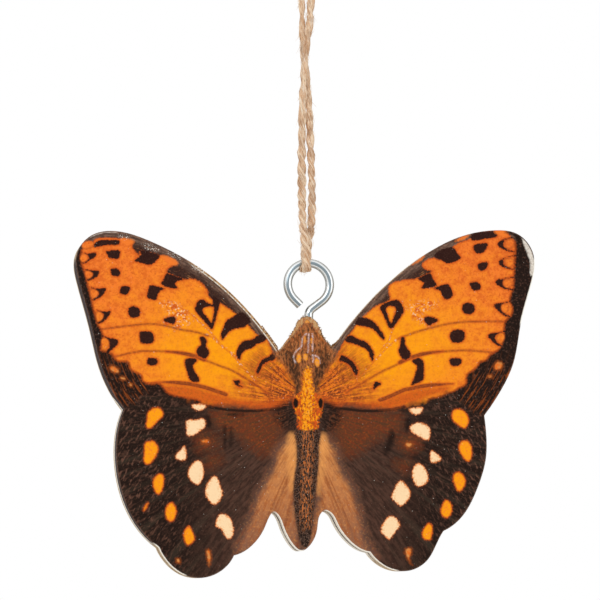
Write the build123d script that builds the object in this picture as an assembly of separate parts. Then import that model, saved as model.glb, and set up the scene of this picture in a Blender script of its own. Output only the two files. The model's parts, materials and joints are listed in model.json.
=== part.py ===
from build123d import *
import os
from math import cos, radians, sin, tan

# Butterfly ornament: a flat butterfly sawn from three-ply board, with a paper print on its front,
# an open screw eye in its head and a loop of jute twine that hangs it up.
# Millimetres. X to the right, Y to the back, Z up. The origin is where a hook bears in the loop.

# Board and print
wing_width = 90.0
face_ply_thickness = 0.9
core_ply_thickness = 2.4
paper_thickness = 0.15

# Screw eye, bent from one wire
eye_outer_diameter = 10.0
wire_diameter = 1.7
wire_slope_deg = 37.0
open_end_slope_deg = 45.0
open_end_length = 1.75
shank_bend_radius = 1.6
shank_length = 11.5
shank_point_length = 2.2
shank_point_diameter = 0.3
pilot_clearance = 0.02

# Twine: one piece, doubled through the eye, its two ends tied in an overhand knot
twine_diameter = 1.5
twine_wire_gap = 0.05
bight_turning_gap = 0.06
loop_turning_gap = 0.1
loop_length = 60.0
neck_length = 8.0
knot_width = 5.2
knot_height = 4.8
knot_round_share = 0.4
tail_length = 6.5
tail_lean_deg = 14.0

# The photograph was taken from a little to the left of the ornament and below it.
photo_centre_px = (300, 300)
photo_far_px = 2400
photo_turn_deg = -11.0
photo_tilt_deg = -7.0
span_px = 467.5
eye_centre_px = (308.8, 284.2)
eye_behind_px = 11.5

# Outline of the board's front face in the photograph, from corner to corner. X is the pixel
# across and Y the pixel down. Each list starts where the one before it ended.
head_corner_px = (279.5, 351.5)
left_forewing_px = [
    (248, 310.5), (205, 271.5), (150, 241), (115, 231), (92, 235), (77, 253), (79, 281),
    (92, 329), (100.5, 364), (111, 389), (124.2, 409),
]
left_hindwing_px = [(117, 436), (116.5, 462), (121.5, 491), (136, 523.5), (158.5, 547.5)]
left_tail_px = [(166.5, 561), (182, 574), (201, 578), (221, 571), (234, 555.5)]
body_px = [
    (252, 545.5), (264.5, 528), (270, 515.5), (273.5, 512), (277.3, 514.5), (283, 526.5),
    (291, 542.5), (301, 551), (311, 544), (317.5, 527), (320.5, 514), (324.5, 510.8),
    (329.5, 512.2), (337, 523.5), (350, 541.5), (370, 552.5),
]
right_tail_px = [(378, 561.5), (392, 569.5), (412, 570), (428, 559.5), (437, 543), (443.5, 531)]
right_hindwing_px = [(463, 515.5), (477.5, 488), (486, 458), (486.3, 434), (484.3, 415.5)]
right_forewing_px = [
    (500, 392), (513, 364.5), (521.5, 320), (532.3, 280), (533.3, 254), (519, 234.8),
    (494, 230.3), (458, 237.5), (410, 265.5), (362, 310.5), (332, 349.5),
]
wooden_head_px = [
    (322, 336.5), (318.5, 326), (313.5, 319.3), (306.5, 317.2), (300, 319.8), (296, 327),
    (288.5, 338), head_corner_px,
]
printed_head_px = [(307.3, 318.8), head_corner_px]

# The twine's route from the eye's wire up to the knot, one leg; the other leg mirrors it through
# the line that the two hang on. The legs part round the hook, cross half way and lie one in front
# of the other where they go round the wire.
leg_route = [
    (0.0, -57.2), (-0.55, -54.3), (-0.84, -50.4), (-0.88, -44.6), (-0.86, -36.4), (-0.74, -29.4),
    (-0.42, -24.9), (0.02, -20.5), (0.46, -16.2), (0.86, -11.9), (1.30, -8.0), (1.72, -4.9),
    (1.78, -2.1), (1.30, 0.6),
]
leg_front = [
    1.65, 0.98, 0.40, 0.14, 0.20, 0.49, 0.78, 0.88, 0.76, 0.36, 0.12, 0.05, 0.0, 0.02,
]
corner_arc_share = 0.45

# Sizes that follow from those above
mm_per_px = wing_width / span_px
core_front = -core_ply_thickness / 2
core_back = core_ply_thickness / 2
ring_radius = (eye_outer_diameter - wire_diameter) / 2
wire_radius = wire_diameter / 2
wire_top = -loop_length
ring_centre = wire_top - ring_radius
shank_corner = ring_centre - ring_radius / cos(radians(wire_slope_deg))
bend_setback = shank_bend_radius * tan(radians(90 - wire_slope_deg) / 2)
shank_top = shank_corner - bend_setback
shank_end = shank_top - shank_length
twine_radius = twine_diameter / 2
bight_radius = wire_radius + twine_wire_gap + twine_radius
bight_reach = bight_radius + twine_radius + bight_turning_gap
knot_round = knot_round_share * min(knot_width, knot_height)


def board_point(point_px, behind_px=0):
    """Where a pixel of the photograph lies on a plane behind the print, in pixels of the board."""
    turn, tilt = radians(photo_turn_deg), radians(photo_tilt_deg)
    across = point_px[0] - photo_centre_px[0]
    up = photo_centre_px[1] - point_px[1]
    # The camera's ray meets the plane where two linear equations in x and z hold.
    reach = photo_far_px + behind_px * cos(turn) * cos(tilt)
    x_in_across = photo_far_px * cos(turn) + across * sin(turn) * cos(tilt)
    z_in_across = across * sin(tilt)
    across_side = across * reach - photo_far_px * behind_px * sin(turn)
    x_in_up = up * sin(turn) * cos(tilt) - photo_far_px * sin(turn) * sin(tilt)
    z_in_up = photo_far_px * cos(tilt) + up * sin(tilt)
    up_side = up * reach - photo_far_px * behind_px * cos(turn) * sin(tilt)
    whole = x_in_across * z_in_up - z_in_across * x_in_up
    x = (across_side * z_in_up - z_in_across * up_side) / whole
    z = (x_in_across * up_side - across_side * x_in_up) / whole
    return x, z


def placed(point_px):
    """A pixel of the board's outline as a point in the ornament's frame."""
    x, z = board_point(point_px)
    eye_x, eye_z = board_point(eye_centre_px, eye_behind_px)
    return Vector((x - eye_x) * mm_per_px, 0, (z - eye_z) * mm_per_px + ring_centre)


def outline(head_px, head_is_round):
    """The butterfly's outline as a flat face at y = 0."""
    edges = []
    start = head_corner_px
    curves = [
        left_forewing_px, left_hindwing_px, left_tail_px, body_px,
        right_tail_px, right_hindwing_px, right_forewing_px,
    ]
    for curve_px in curves:
        edges.append(Spline(*[placed(point) for point in [start] + curve_px]))
        start = curve_px[-1]
    head = [placed(point) for point in [start] + head_px]
    if head_is_round:
        edges.append(Spline(*head))
    else:
        edges += [Line(first, second) for first, second in zip(head, head[1:])]
    return Face(Wire(edges))


def layer(face, front, thickness):
    """A flat sheet of the board, from its front plane backwards."""
    return Pos(0, front, 0) * extrude(face, amount=thickness, dir=(0, 1, 0))


def make_wire_path():
    """The screw eye's centre line from the foot of the shank round to the open end."""
    slope = radians(wire_slope_deg)
    foot = Vector(0, 0, shank_end)
    bend_start = Vector(0, 0, shank_top)
    shank = Line(foot, bend_start)
    bend = JernArc(
        start=Plane.XZ.to_local_coords(bend_start), tangent=(0, 1), radius=shank_bend_radius,
        arc_size=wire_slope_deg - 90,
    )
    bend = Plane.XZ * bend
    ring_start = Vector(ring_radius * sin(slope), 0, ring_centre - ring_radius * cos(slope))
    riser = Line(bend @ 1, ring_start)
    ring = Plane.XZ * JernArc(
        start=Plane.XZ.to_local_coords(ring_start), tangent=(cos(slope), sin(slope)),
        radius=ring_radius, arc_size=360 - open_end_slope_deg - wire_slope_deg,
    )
    tip = Line(ring @ 1, (ring @ 1) + (ring % 1) * open_end_length)
    return Wire([shank, bend.edge(), riser, ring.edge(), tip])


def make_screw_eye():
    """One wire, bent to an open ring and an offset shank, with a gimlet point turned on its foot."""
    path = make_wire_path()
    wire = sweep(Plane(origin=path @ 0, z_dir=path % 0) * Circle(wire_radius), path=path)
    point_cone = Cone(
        wire_radius, shank_point_diameter / 2, shank_point_length,
        align=(Align.CENTER, Align.CENTER, Align.MIN),
    )
    return wire + Pos(0, 0, shank_end) * Rot(180, 0, 0) * point_cone


def make_pilot_hole():
    """The hole that the shank fills, from above the head down to the point."""
    radius = wire_radius + pilot_clearance
    depth = shank_top - shank_end
    hole = Pos(0, 0, shank_end) * Cylinder(
        radius, depth, align=(Align.CENTER, Align.CENTER, Align.MIN)
    )
    drill_point = Cone(
        radius, shank_point_diameter / 2 + pilot_clearance, shank_point_length + pilot_clearance,
        align=(Align.CENTER, Align.CENTER, Align.MIN),
    )
    return hole + Pos(0, 0, shank_end) * Rot(180, 0, 0) * drill_point


def route_points(side):
    """The leg's points; side is 1 for the leg in front of the wire and -1 for the one behind."""
    return [
        Vector(side * across, -side * front, height)
        for (across, height), front in zip(leg_route, leg_front)
    ]


def corner_radii(points):
    """The largest arc at each point that leaves room for its neighbours' arcs."""
    radii = []
    for before, point, after in zip(points, points[1:], points[2:]):
        shorter = min((point - before).length, (after - point).length)
        half_turn = (point - before).get_angle(after - point) / 2
        radii.append(corner_arc_share * shorter / tan(radians(half_turn)))
    return radii


def make_leg(side):
    """One leg of the loop, from the wire's top up into the knot."""
    points = [Vector(0, -side * bight_radius, wire_top)] + route_points(side)
    radii = corner_radii(points)
    print("leg bends:", [round(radius, 1) for radius in radii])
    path = FilletPolyline(*points, radius=radii)
    return sweep(Plane(origin=path @ 0, z_dir=path % 0) * Circle(twine_radius), path=Wire(path))


def turning_drum(radius):
    """The round space about the wire in which the bight turns with the ornament."""
    return Pos(0, 0, wire_top) * Rot(0, 90, 0) * Cylinder(radius, 4 * twine_diameter)


def make_bight(legs):
    """The twine's turn under the wire, as far as it rocks with the eye."""
    half_turn = Plane.YZ * CenterArc((0, 0), bight_radius, 180, 180)
    half_turn = Pos(0, 0, wire_top) * half_turn
    section = Plane(origin=half_turn @ 0, z_dir=half_turn % 0) * Circle(twine_radius)
    turn = sweep(section, path=Wire(half_turn))
    drum = turning_drum(bight_reach)
    return turn + [leg & drum for leg in legs]


def band(bottom, top):
    """A slab between two heights, wider than the loop."""
    return Pos(0, 0, (bottom + top) / 2) * Box(loop_length, loop_length, top - bottom)


def make_knot(legs):
    """The overhand knot as one lump, with the twine's two ends standing out of it."""
    lump = Pos(0, 0, knot_height / 2) * Cylinder(knot_width / 2, knot_height)
    lump = fillet(lump.edges().filter_by(GeomType.CIRCLE), knot_round)
    for side in (-1, 1):
        tail = Cylinder(
            twine_radius, knot_height / 2 + tail_length,
            align=(Align.CENTER, Align.CENTER, Align.MIN),
        )
        lean = Pos(side * twine_radius, 0, knot_height / 2) * Rot(0, side * tail_lean_deg, 0)
        lump += lean * tail
    for leg in legs:
        lump -= leg
    return lump


os.makedirs("parts", exist_ok=True)

wooden = outline(wooden_head_px, True)
printed = outline(printed_head_px, False)
front_leg, back_leg = make_leg(1), make_leg(-1)
both_legs = [front_leg, back_leg]
neck_bottom = -neck_length
loop_top = neck_bottom - loop_turning_gap
room_for_bight = turning_drum(bight_reach + bight_turning_gap)

nodes = {
    "front_print": layer(printed, core_front - face_ply_thickness - paper_thickness, paper_thickness),
    "front_ply": layer(wooden, core_front - face_ply_thickness, face_ply_thickness),
    "core_ply": layer(wooden, core_front, core_ply_thickness) - make_pilot_hole(),
    "back_ply": layer(wooden, core_back, face_ply_thickness),
    "screw_eye": make_screw_eye(),
    "twine_bight": make_bight(both_legs),
    "twine_leg_left": (front_leg & band(wire_top, loop_top)) - room_for_bight,
    "twine_leg_right": (back_leg & band(wire_top, loop_top)) - room_for_bight,
    "twine_neck": Compound([leg & band(neck_bottom, knot_height) for leg in both_legs]),
    "twine_knot": make_knot(both_legs),
}

for name, solid in nodes.items():
    export_step(solid, f"parts/{name}.step")
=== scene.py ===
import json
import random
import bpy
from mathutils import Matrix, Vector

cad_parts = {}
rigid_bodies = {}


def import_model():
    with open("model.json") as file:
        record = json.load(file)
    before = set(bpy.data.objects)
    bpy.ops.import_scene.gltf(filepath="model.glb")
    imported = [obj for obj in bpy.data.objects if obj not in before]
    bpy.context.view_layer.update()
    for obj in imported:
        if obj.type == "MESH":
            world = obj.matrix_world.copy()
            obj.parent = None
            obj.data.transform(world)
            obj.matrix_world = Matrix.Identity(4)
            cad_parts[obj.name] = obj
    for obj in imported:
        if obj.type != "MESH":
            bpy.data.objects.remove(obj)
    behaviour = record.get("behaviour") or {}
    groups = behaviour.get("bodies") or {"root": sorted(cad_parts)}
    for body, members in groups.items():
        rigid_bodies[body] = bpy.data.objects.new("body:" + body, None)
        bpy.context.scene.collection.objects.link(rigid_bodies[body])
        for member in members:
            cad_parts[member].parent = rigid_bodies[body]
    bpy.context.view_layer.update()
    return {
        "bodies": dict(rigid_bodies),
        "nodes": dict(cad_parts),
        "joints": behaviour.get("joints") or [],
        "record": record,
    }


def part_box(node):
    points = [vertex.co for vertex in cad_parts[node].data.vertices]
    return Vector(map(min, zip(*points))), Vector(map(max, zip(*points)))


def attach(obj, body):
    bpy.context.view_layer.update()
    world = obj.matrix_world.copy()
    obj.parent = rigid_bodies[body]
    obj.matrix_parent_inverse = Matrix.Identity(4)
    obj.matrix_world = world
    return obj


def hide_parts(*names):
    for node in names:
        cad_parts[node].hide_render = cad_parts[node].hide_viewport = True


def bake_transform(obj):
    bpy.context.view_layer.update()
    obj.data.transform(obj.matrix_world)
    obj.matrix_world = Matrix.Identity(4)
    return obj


bl_info = {
    "name": "Butterfly Ornament",
    "version": (1, 0, 0),
    "blender": (4, 5, 0),
    "location": "View3D > Sidebar > Butterfly",
    "description": "A printed plywood butterfly with a screw eye and a loop of jute twine",
    "category": "Add Mesh",
}

from math import atan, cos, pi, radians, sin, tan

import bmesh
import bpy
import numpy as np
from bpy.props import FloatProperty, FloatVectorProperty, IntProperty, PointerProperty
from mathutils import Matrix, Vector

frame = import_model()

# The photograph: the camera stands a little to the left of the ornament and below it.
photo_centre_px = (300, 300)
photo_far_px = 2400
photo_turn = radians(-11)
photo_tilt = radians(-7)
wing_width = 0.090
span_px = 467.5
metre_per_px = wing_width / span_px
eye_centre_px = (308.8, 284.2)
eye_behind_px = 11.5

# The board and the eye, as the frame has them
print_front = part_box("front_print")[0].y
print_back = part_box("front_print")[1].y
wire_radius = 0.00085
wire_slope = radians(37)
open_end_slope = radians(45)
open_end_length = 0.00175
shank_bend_radius = 0.0016
shank_length = 0.0115
shank_point_length = 0.0022
shank_point_radius = 0.00015
loop_length = 0.060
ring_radius = 0.00415
wire_top = -loop_length
ring_centre = wire_top - ring_radius
# From here to the right, the saw leaned, so walls that face up and left are hidden from the camera
head_left = -0.0060


# Photograph and frame

def board_point(point_px, behind_px=0):
    """Where a pixel of the photograph lies on a plane behind the print, in pixels of the board."""
    across = point_px[0] - photo_centre_px[0]
    up = photo_centre_px[1] - point_px[1]
    reach = photo_far_px + behind_px * cos(photo_turn) * cos(photo_tilt)
    x_in_across = photo_far_px * cos(photo_turn) + across * sin(photo_turn) * cos(photo_tilt)
    z_in_across = across * sin(photo_tilt)
    across_side = across * reach - photo_far_px * behind_px * sin(photo_turn)
    x_in_up = up * sin(photo_turn) * cos(photo_tilt) - photo_far_px * sin(photo_turn) * sin(photo_tilt)
    z_in_up = photo_far_px * cos(photo_tilt) + up * sin(photo_tilt)
    up_side = up * reach - photo_far_px * behind_px * cos(photo_turn) * sin(photo_tilt)
    whole = x_in_across * z_in_up - z_in_across * x_in_up
    x = (across_side * z_in_up - z_in_across * up_side) / whole
    z = (x_in_across * up_side - across_side * x_in_up) / whole
    return x, z


eye_x_px, eye_z_px = board_point(eye_centre_px, eye_behind_px)
photo_target = Vector((-eye_x_px * metre_per_px, print_front, -eye_z_px * metre_per_px + ring_centre))
towards_camera = Vector((
    sin(photo_turn) * cos(photo_tilt), -cos(photo_turn) * cos(photo_tilt), sin(photo_tilt)
))
photo_right = Vector((cos(photo_turn), sin(photo_turn), 0))
photo_up = towards_camera.cross(photo_right)


def placed(point_px, behind_px=0):
    """A pixel of the photograph as a point of the frame, on the print or behind it."""
    x, z = board_point(point_px, behind_px)
    return Vector((
        (x - eye_x_px) * metre_per_px,
        print_front + behind_px * metre_per_px,
        (z - eye_z_px) * metre_per_px + ring_centre,
    ))


def seen_at(points):
    """The pixels of the photograph at which points of the frame are seen."""
    offset = (points - np.array(photo_target)) / metre_per_px
    depth = photo_far_px - offset @ np.array(towards_camera)
    across = photo_far_px * (offset @ np.array(photo_right)) / depth
    up = photo_far_px * (offset @ np.array(photo_up)) / depth
    return np.stack([photo_centre_px[0] + across, photo_centre_px[1] - up], 1)


# Marks of the print, as outlines in pixels of the photograph. X is across and Y is down.
leading_bands_px = [
    [
        (60, 222), (115, 222), (150, 232), (205, 262), (250, 301), (285, 346), (276, 357), (273, 352),
        (270, 345), (266, 338), (258, 335), (247, 324), (235, 313), (222, 304), (210, 298),
        (207, 289), (199, 281), (190, 278.5), (184, 279), (167, 272), (172, 266), (175, 263.5),
        (168, 258.5), (160, 255), (146, 252), (140, 250.5), (139, 255), (134, 250), (132, 246.5),
        (133, 243), (122, 238.5), (98, 238), (92, 243), (86, 243), (80, 250), (68, 250),
    ],
    [
        (545, 222), (494, 222), (458, 228), (410, 256), (362, 301), (325, 346), (333, 357),
        (338, 352), (342, 345), (346, 338), (352, 331), (358, 322), (366, 314), (376, 306),
        (388, 301), (390, 298), (388, 289), (392, 283), (398, 281), (406, 279.4), (416, 278.6),
        (432, 271.4), (426, 269.8), (421.6, 265), (427.4, 259.4), (434.5, 258), (441, 259.6),
        (453, 250), (453, 247), (459, 242.6), (466, 240.4), (471, 237.4), (473, 234.4), (480, 231.6),
        (494, 229.6), (502, 229.8), (508, 233.6), (519, 243), (545, 250),
    ],
]
band_streaks_px = [
    [(120, 240), (124, 238), (133, 240), (134, 243), (126, 243.5)],
    [(161, 255.5), (170, 257), (178, 262), (176, 265.5), (168, 263)],
    [(407, 264.5), (415, 257), (425, 253.5), (421, 260.5), (411, 265)],
    [(455, 241.5), (462, 236.4), (469, 234.4), (465, 239)],
    [(494, 231), (508, 231), (505, 236), (499, 235)],
]
margins_px = [
    [
        (60, 238), (80, 238), (82, 248), (81, 256), (82, 265), (85, 273), (86.5, 280), (89, 290),
        (91.5, 300), (93, 308), (95.5, 316), (97, 323), (101, 330), (103, 337), (101.5, 344),
        (101, 350), (106, 351.5), (112, 354), (114.5, 358), (118, 361), (128, 362), (130, 368),
        (133, 371), (141, 375), (143, 381), (150, 384), (160, 384), (168, 393), (180, 397),
        (192, 399), (200, 404), (170, 425), (120, 425), (90, 400), (60, 300),
    ],
    [
        (545, 226), (506, 231), (513.6, 236), (515.4, 246), (514.6, 262), (514, 275), (513.2, 288),
        (509.6, 299), (512.4, 308), (511, 315), (505, 322), (504, 330), (503.5, 339), (500, 348),
        (495, 352), (490, 355), (486, 360), (480, 362), (476, 368), (467, 375), (466, 384),
        (459, 388), (452, 392), (440, 397), (428, 402), (440, 425), (490, 425), (520, 380),
        (545, 300),
    ],
]
dark_marks_px = [
    # left forewing
    [(93, 246), (97, 241.5), (100, 240.3), (110, 239.8), (119, 240.3), (119.5, 243.5), (117, 245),
     (109, 244.8), (102, 246), (95, 247.2)],
    [(106, 251.5), (110, 250.5), (119.5, 250.5), (119.5, 256.5), (117, 258.8), (110, 258), (107, 254.5)],
    [(110.5, 270), (113, 268.3), (117, 268.5), (120, 271), (119.5, 275.5), (116, 276.5), (112, 275)],
    [(121.5, 287), (125, 285.8), (130, 287), (129.5, 291), (126.5, 294.5), (121, 294), (119.8, 292)],
    [(128.5, 309), (131, 306.5), (134, 306), (139.5, 309), (140, 313.5), (138, 317), (131, 317.5),
     (128.5, 314.5)],
    [(139.5, 332.5), (142, 331.3), (150, 331.5), (153, 334), (154, 340), (151, 343.5), (142.5, 343.5),
     (140, 341)],
    [(147.5, 359), (149.5, 358), (156, 358.5), (158, 361.5), (156, 365), (149, 365), (147, 363)],
    [(134, 261), (141, 255), (140, 250), (159, 255), (156, 261), (150, 265), (145, 264), (138, 262)],
    [(165.5, 275), (168, 273.5), (184, 279), (178, 281), (175, 284), (177, 288), (170, 288),
     (161.5, 284.5), (163.5, 279)],
    [(149, 287), (152, 285.3), (158, 286.5), (165, 288.8), (160, 291), (157.5, 296), (156, 300),
     (150, 299), (147, 296.5)],
    [(163.5, 319.5), (170, 316.5), (176, 318), (174, 324), (170, 323.5), (165, 321.5)],
    [(84, 252.6), (88, 253.6), (95.4, 252.6), (95.6, 256.4), (91, 259.6), (86, 263), (82, 263.6),
     (88, 259.6), (88.6, 256.4)],
    [(84, 269.2), (92, 270.4), (98.6, 270.6), (98.4, 275), (94.8, 278.2), (88.6, 280.6), (86, 280),
     (92, 276.4), (92.4, 273)],
    [(90.6, 287.4), (98, 288.6), (105.6, 288.2), (104.6, 292.6), (99.8, 297.6), (93.6, 300.6),
     (92, 299.6), (97.6, 296), (98.4, 291.8)],
    [(96.6, 310), (103, 311.6), (110.4, 311.2), (108.4, 316.4), (103.4, 321.6), (99, 323.6), (97.4, 322.6),
     (102.4, 318.6), (103.2, 314)],
    [(102, 335.6), (108, 337.4), (117.4, 340), (117.4, 344.6), (112.6, 349), (108.4, 353.2), (105.4, 353),
     (109, 347.6), (109, 341.6)],
    [(231, 318), (227, 320), (224, 326), (221.5, 333), (221, 338), (223, 339.5), (226, 335),
     (231, 330.5), (236, 328.5), (243, 327.5), (247, 325), (251, 321), (242, 312)],
    [(262, 334.5), (257, 336), (252, 339.5), (244, 341), (239.5, 345), (236.5, 352), (237, 357),
     (240, 359.5), (241.5, 354), (246, 350), (253, 347.5), (257, 344), (263, 342), (267, 338)],
    [(272, 353.5), (268, 357), (261.5, 360), (258.5, 366), (256, 371), (257.5, 374), (260, 371),
     (263, 365), (268, 361.5), (274, 360), (276, 356)],
    [(200, 337), (204, 337), (207, 341), (206, 346), (209, 351), (208, 356), (205, 358.5),
     (198.5, 356), (196.5, 352), (198, 347), (201, 345), (200, 340)],
    [(184.5, 362), (187, 358.5), (195, 358.5), (197, 361), (193, 365.5), (195, 372), (199, 378),
     (198, 382), (190, 380), (187, 371)],
    [(233.5, 380.5), (240.5, 381), (239, 384), (242.5, 387), (237, 386)],
    # right forewing
    [(473.2, 249), (475.4, 244.4), (487.4, 243.2), (485.8, 249.4), (482, 253), (477, 253.4)],
    [(478, 264), (487.5, 262), (486.5, 268.5), (480, 271)],
    [(469.5, 284), (473, 282), (477.5, 282), (481, 286.5), (479, 290), (473, 290)],
    [(462.5, 305), (468, 302.5), (474, 305), (474.5, 311), (469, 314.5), (463, 312)],
    [(450.5, 333), (455, 329.7), (463, 330.5), (465, 336), (462, 342), (453, 342.3), (450, 338)],
    [(450, 359), (460.5, 358.5), (460.5, 364.5), (452, 366)],
    [(434, 288.5), (446, 284), (450.5, 287), (452.5, 296), (446, 299.5), (442.5, 296), (440, 291)],
    [(418, 278.5), (430, 273.5), (433, 279), (436.5, 285.5), (429, 288), (421, 288), (424, 283)],
    [(434, 256), (440, 250), (452, 247), (457, 252.6), (461, 257.6), (456, 261.2), (447.6, 263.5),
     (441.6, 260)],
    [(424, 318.5), (430, 316.5), (438.5, 320), (434, 323), (428, 325.5)],
    [(471.6, 233.6), (478, 231.8), (493.6, 230.8), (497, 236.8), (485, 238.8), (472.6, 240.6)],
    [(514, 236.8), (505, 238.6), (500, 241), (497.4, 244), (500, 247.6), (505, 250), (511, 252),
     (515, 251.6), (509, 249.8), (504.6, 247.4), (503.2, 244), (504.6, 240.6), (508.6, 238.6), (514, 238.4)],
    [(515, 254.8), (505, 257.6), (500.6, 259.6), (498.6, 262), (500.4, 265.6), (505, 268), (511, 269.6),
     (515, 269.4), (509, 267.6), (504.6, 265.4), (503.2, 262), (504.6, 258.8), (508.6, 256.8), (515, 256.6)],
    [(514, 276.4), (505, 278.2), (498, 279.4), (495.2, 282), (498.4, 285.6), (503, 288.2), (509, 290),
     (514, 289.8), (508.6, 288), (504, 285.8), (502.6, 282.4), (504, 279.8), (508, 278.2), (514, 278)],
    [(512, 299.8), (504, 302.4), (496.6, 303.4), (493.8, 306.2), (497, 309.6), (501, 313.4), (506, 316.6),
     (511, 316.8), (506, 314.2), (502.6, 311.4), (501.4, 307.6), (502.6, 304.6), (506, 302.8), (512, 301.6)],
    [(507, 329.6), (499, 332.2), (490.6, 333.4), (488, 336.2), (491, 340), (495, 344), (500, 346.6),
     (504, 346.4), (499.6, 344), (496.4, 341.4), (495.2, 338), (496.4, 335), (499.6, 333.2), (507, 331.4)],
    [(358, 317), (366, 318), (374, 322), (379, 328), (384, 336), (384, 340), (381, 338), (376, 332),
     (371, 328), (362, 326), (355, 323), (363, 312)],
    [(350, 335), (358, 339), (366, 342), (372, 349), (374, 355), (372.5, 361), (370, 357), (368, 351),
     (362, 347), (354, 344), (345, 341)],
    [(342, 355), (349, 359), (354, 363), (358, 371), (356.5, 375.5), (353, 371), (350, 366),
     (344, 362), (339, 361)],
    [(401, 338), (404.5, 338), (405.5, 345), (410, 352), (410, 357), (405, 360), (401, 357),
     (398.5, 351), (400, 346)],
    [(412, 361), (418, 358), (423, 361), (424, 370), (423, 380), (415, 384), (411, 385), (414, 378),
     (416, 371), (417, 366)],
    [(375, 382), (381, 383.5), (377, 387), (373, 389.5)],
]
heart_rings_px = [
    [(195.8, 306), (198.2, 300.7), (203.7, 299.5), (206.5, 302), (212.4, 304), (213, 296), (219.5, 301),
     (218.5, 309), (216.8, 315), (214.3, 324), (212.4, 329.2), (210, 328), (203.7, 320.5), (197.4, 313.5),
     (194.8, 309)],
    [(390, 301), (398, 300), (402, 305), (404, 311), (398, 321), (392, 328.5), (388, 326),
     (384, 316), (380, 307)],
]
heart_insides_px = [
    [(203.4, 308), (211.6, 306.3), (214, 309), (213.2, 316.8), (211.4, 322.6), (208.8, 319.2),
     (203.4, 312.5)],
    [(386, 308), (392, 306), (396, 309), (394, 316), (391, 323), (388, 316)],
]
veins_px = [
    [(208, 336), (196, 332), (180, 329.5), (165, 325.5), (150, 324), (130, 325.5), (100, 329.5)],
    [(190, 354.8), (175, 352), (150, 351), (135, 352), (114, 357)],
    [(203.7, 359.5), (219.5, 365.8), (232, 370.5), (250, 381), (266, 392)],
    [(398, 339), (404, 336.4), (418, 331.5), (432, 327.6), (450, 323.6), (470, 321.6), (504, 321.5)],
    [(420, 355), (430, 353), (450, 351), (470, 350.5), (498, 353)],
    [(408, 358.5), (394, 366), (380, 372.5), (364, 382), (346, 393)],
]
faint_veins_px = [
    [(206, 334.5), (213, 338), (221, 345.3), (232, 354.7), (243, 367.4), (256, 381)],
    [(160, 303), (175, 306), (188, 312), (200, 322), (212, 334), (226, 349), (240, 359)],
    [(399, 338), (391, 344), (381, 354), (370, 366), (356, 381)],
    [(393, 328), (389, 340), (380, 351)],
]
brown_veins_px = [
    [(226, 394.5), (212, 389.7), (202.6, 386.8), (188.4, 383.8), (171, 382.3), (155.3, 382.4), (143, 384)],
    [(204, 359.7), (196, 356.5), (189, 354.6), (180, 352.8), (166, 351.6)],
    [(380, 400), (388.6, 397), (404, 390), (411.5, 388.6), (419, 386.7), (430.6, 385.2), (442, 384.4),
     (453.6, 383.6)],
    [(400, 362.4), (407, 359), (414, 356.6), (422, 354.2), (432, 352.4), (443, 351.2)],
    [(205, 406), (225, 409.5), (250, 411), (270, 409.5), (286, 407.5)],
    [(327, 407), (345, 409), (365, 411), (388, 410), (404, 407)],
]
red_strips_px = [
    [(160, 385), (176, 384.5), (196, 387), (214, 392), (232, 397), (262, 402), (290, 398), (292, 412),
     (262, 412), (232, 409), (206, 405), (186, 402), (168, 397), (160, 391)],
    [(321, 398), (346, 402), (380, 401), (404, 391.5), (430, 387), (450, 386), (447, 392), (430, 397),
     (408, 405), (384, 409), (346, 412), (322, 411)],
]
edge_lights_px = [
    [(190, 262), (200, 258), (240, 294), (280, 340), (279, 348), (268, 348), (238, 309)],
]
white_edges_px = [
    [(274, 508), (282, 512), (304, 552), (290, 556)],
    [(324, 506), (334, 508), (376, 556), (362, 562), (336, 534)],
    [(368, 548), (396, 566), (392, 578), (364, 560)],
    [(154, 544), (164, 548), (184, 570), (180, 584), (150, 566)],
    [(529, 262), (540, 262), (534, 292), (524, 322), (516, 320), (522, 296)],
]
bare_tips_px = [
    [(512, 231), (521, 236.6), (523.6, 245), (527.4, 253), (530.4, 263), (531, 276), (542, 264),
     (536, 240), (522, 226)],
    [(66, 262), (74, 262), (78, 251), (84, 241.6), (92, 236.4), (104, 232.6), (118, 231.4), (118, 222),
     (80, 226), (66, 246)],
]
glints_px = [
    [(119, 234.5), (128, 235.5), (126, 239), (119, 238)],
    [(142, 243), (158, 247), (158, 251), (146, 249)],
    [(169, 250.5), (182, 255), (179, 259), (170, 256)],
    [(193, 263), (205, 269), (203, 273), (193, 268)],
]
scars_px = [
    [(163, 303), (174, 302), (186, 312), (188, 324), (176, 328), (164, 324), (168, 313)],
    [(395, 303), (403, 303), (404, 312), (398, 314)],
    [(410, 307), (420, 302), (434, 301), (436, 306), (424, 311), (420, 317), (436, 322), (434, 327),
     (424, 324), (413, 316)],
]
neck_sides_px = [
    [(286, 350), (293, 352), (299, 366), (301, 380), (298, 396), (292, 392), (289, 376), (285, 362)],
    [(326, 350), (320, 354), (315, 367), (313, 380), (317, 396), (322, 390), (325, 374), (329, 362)],
]
thorax_eyes_px = [
    [(293.6, 400), (296, 398), (298.2, 401), (298, 406), (295.6, 408.2), (293.4, 405)],
    [(318.4, 401), (320.6, 398), (322.8, 400.5), (322.6, 406), (320.6, 408.4), (318.4, 405)],
]
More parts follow.
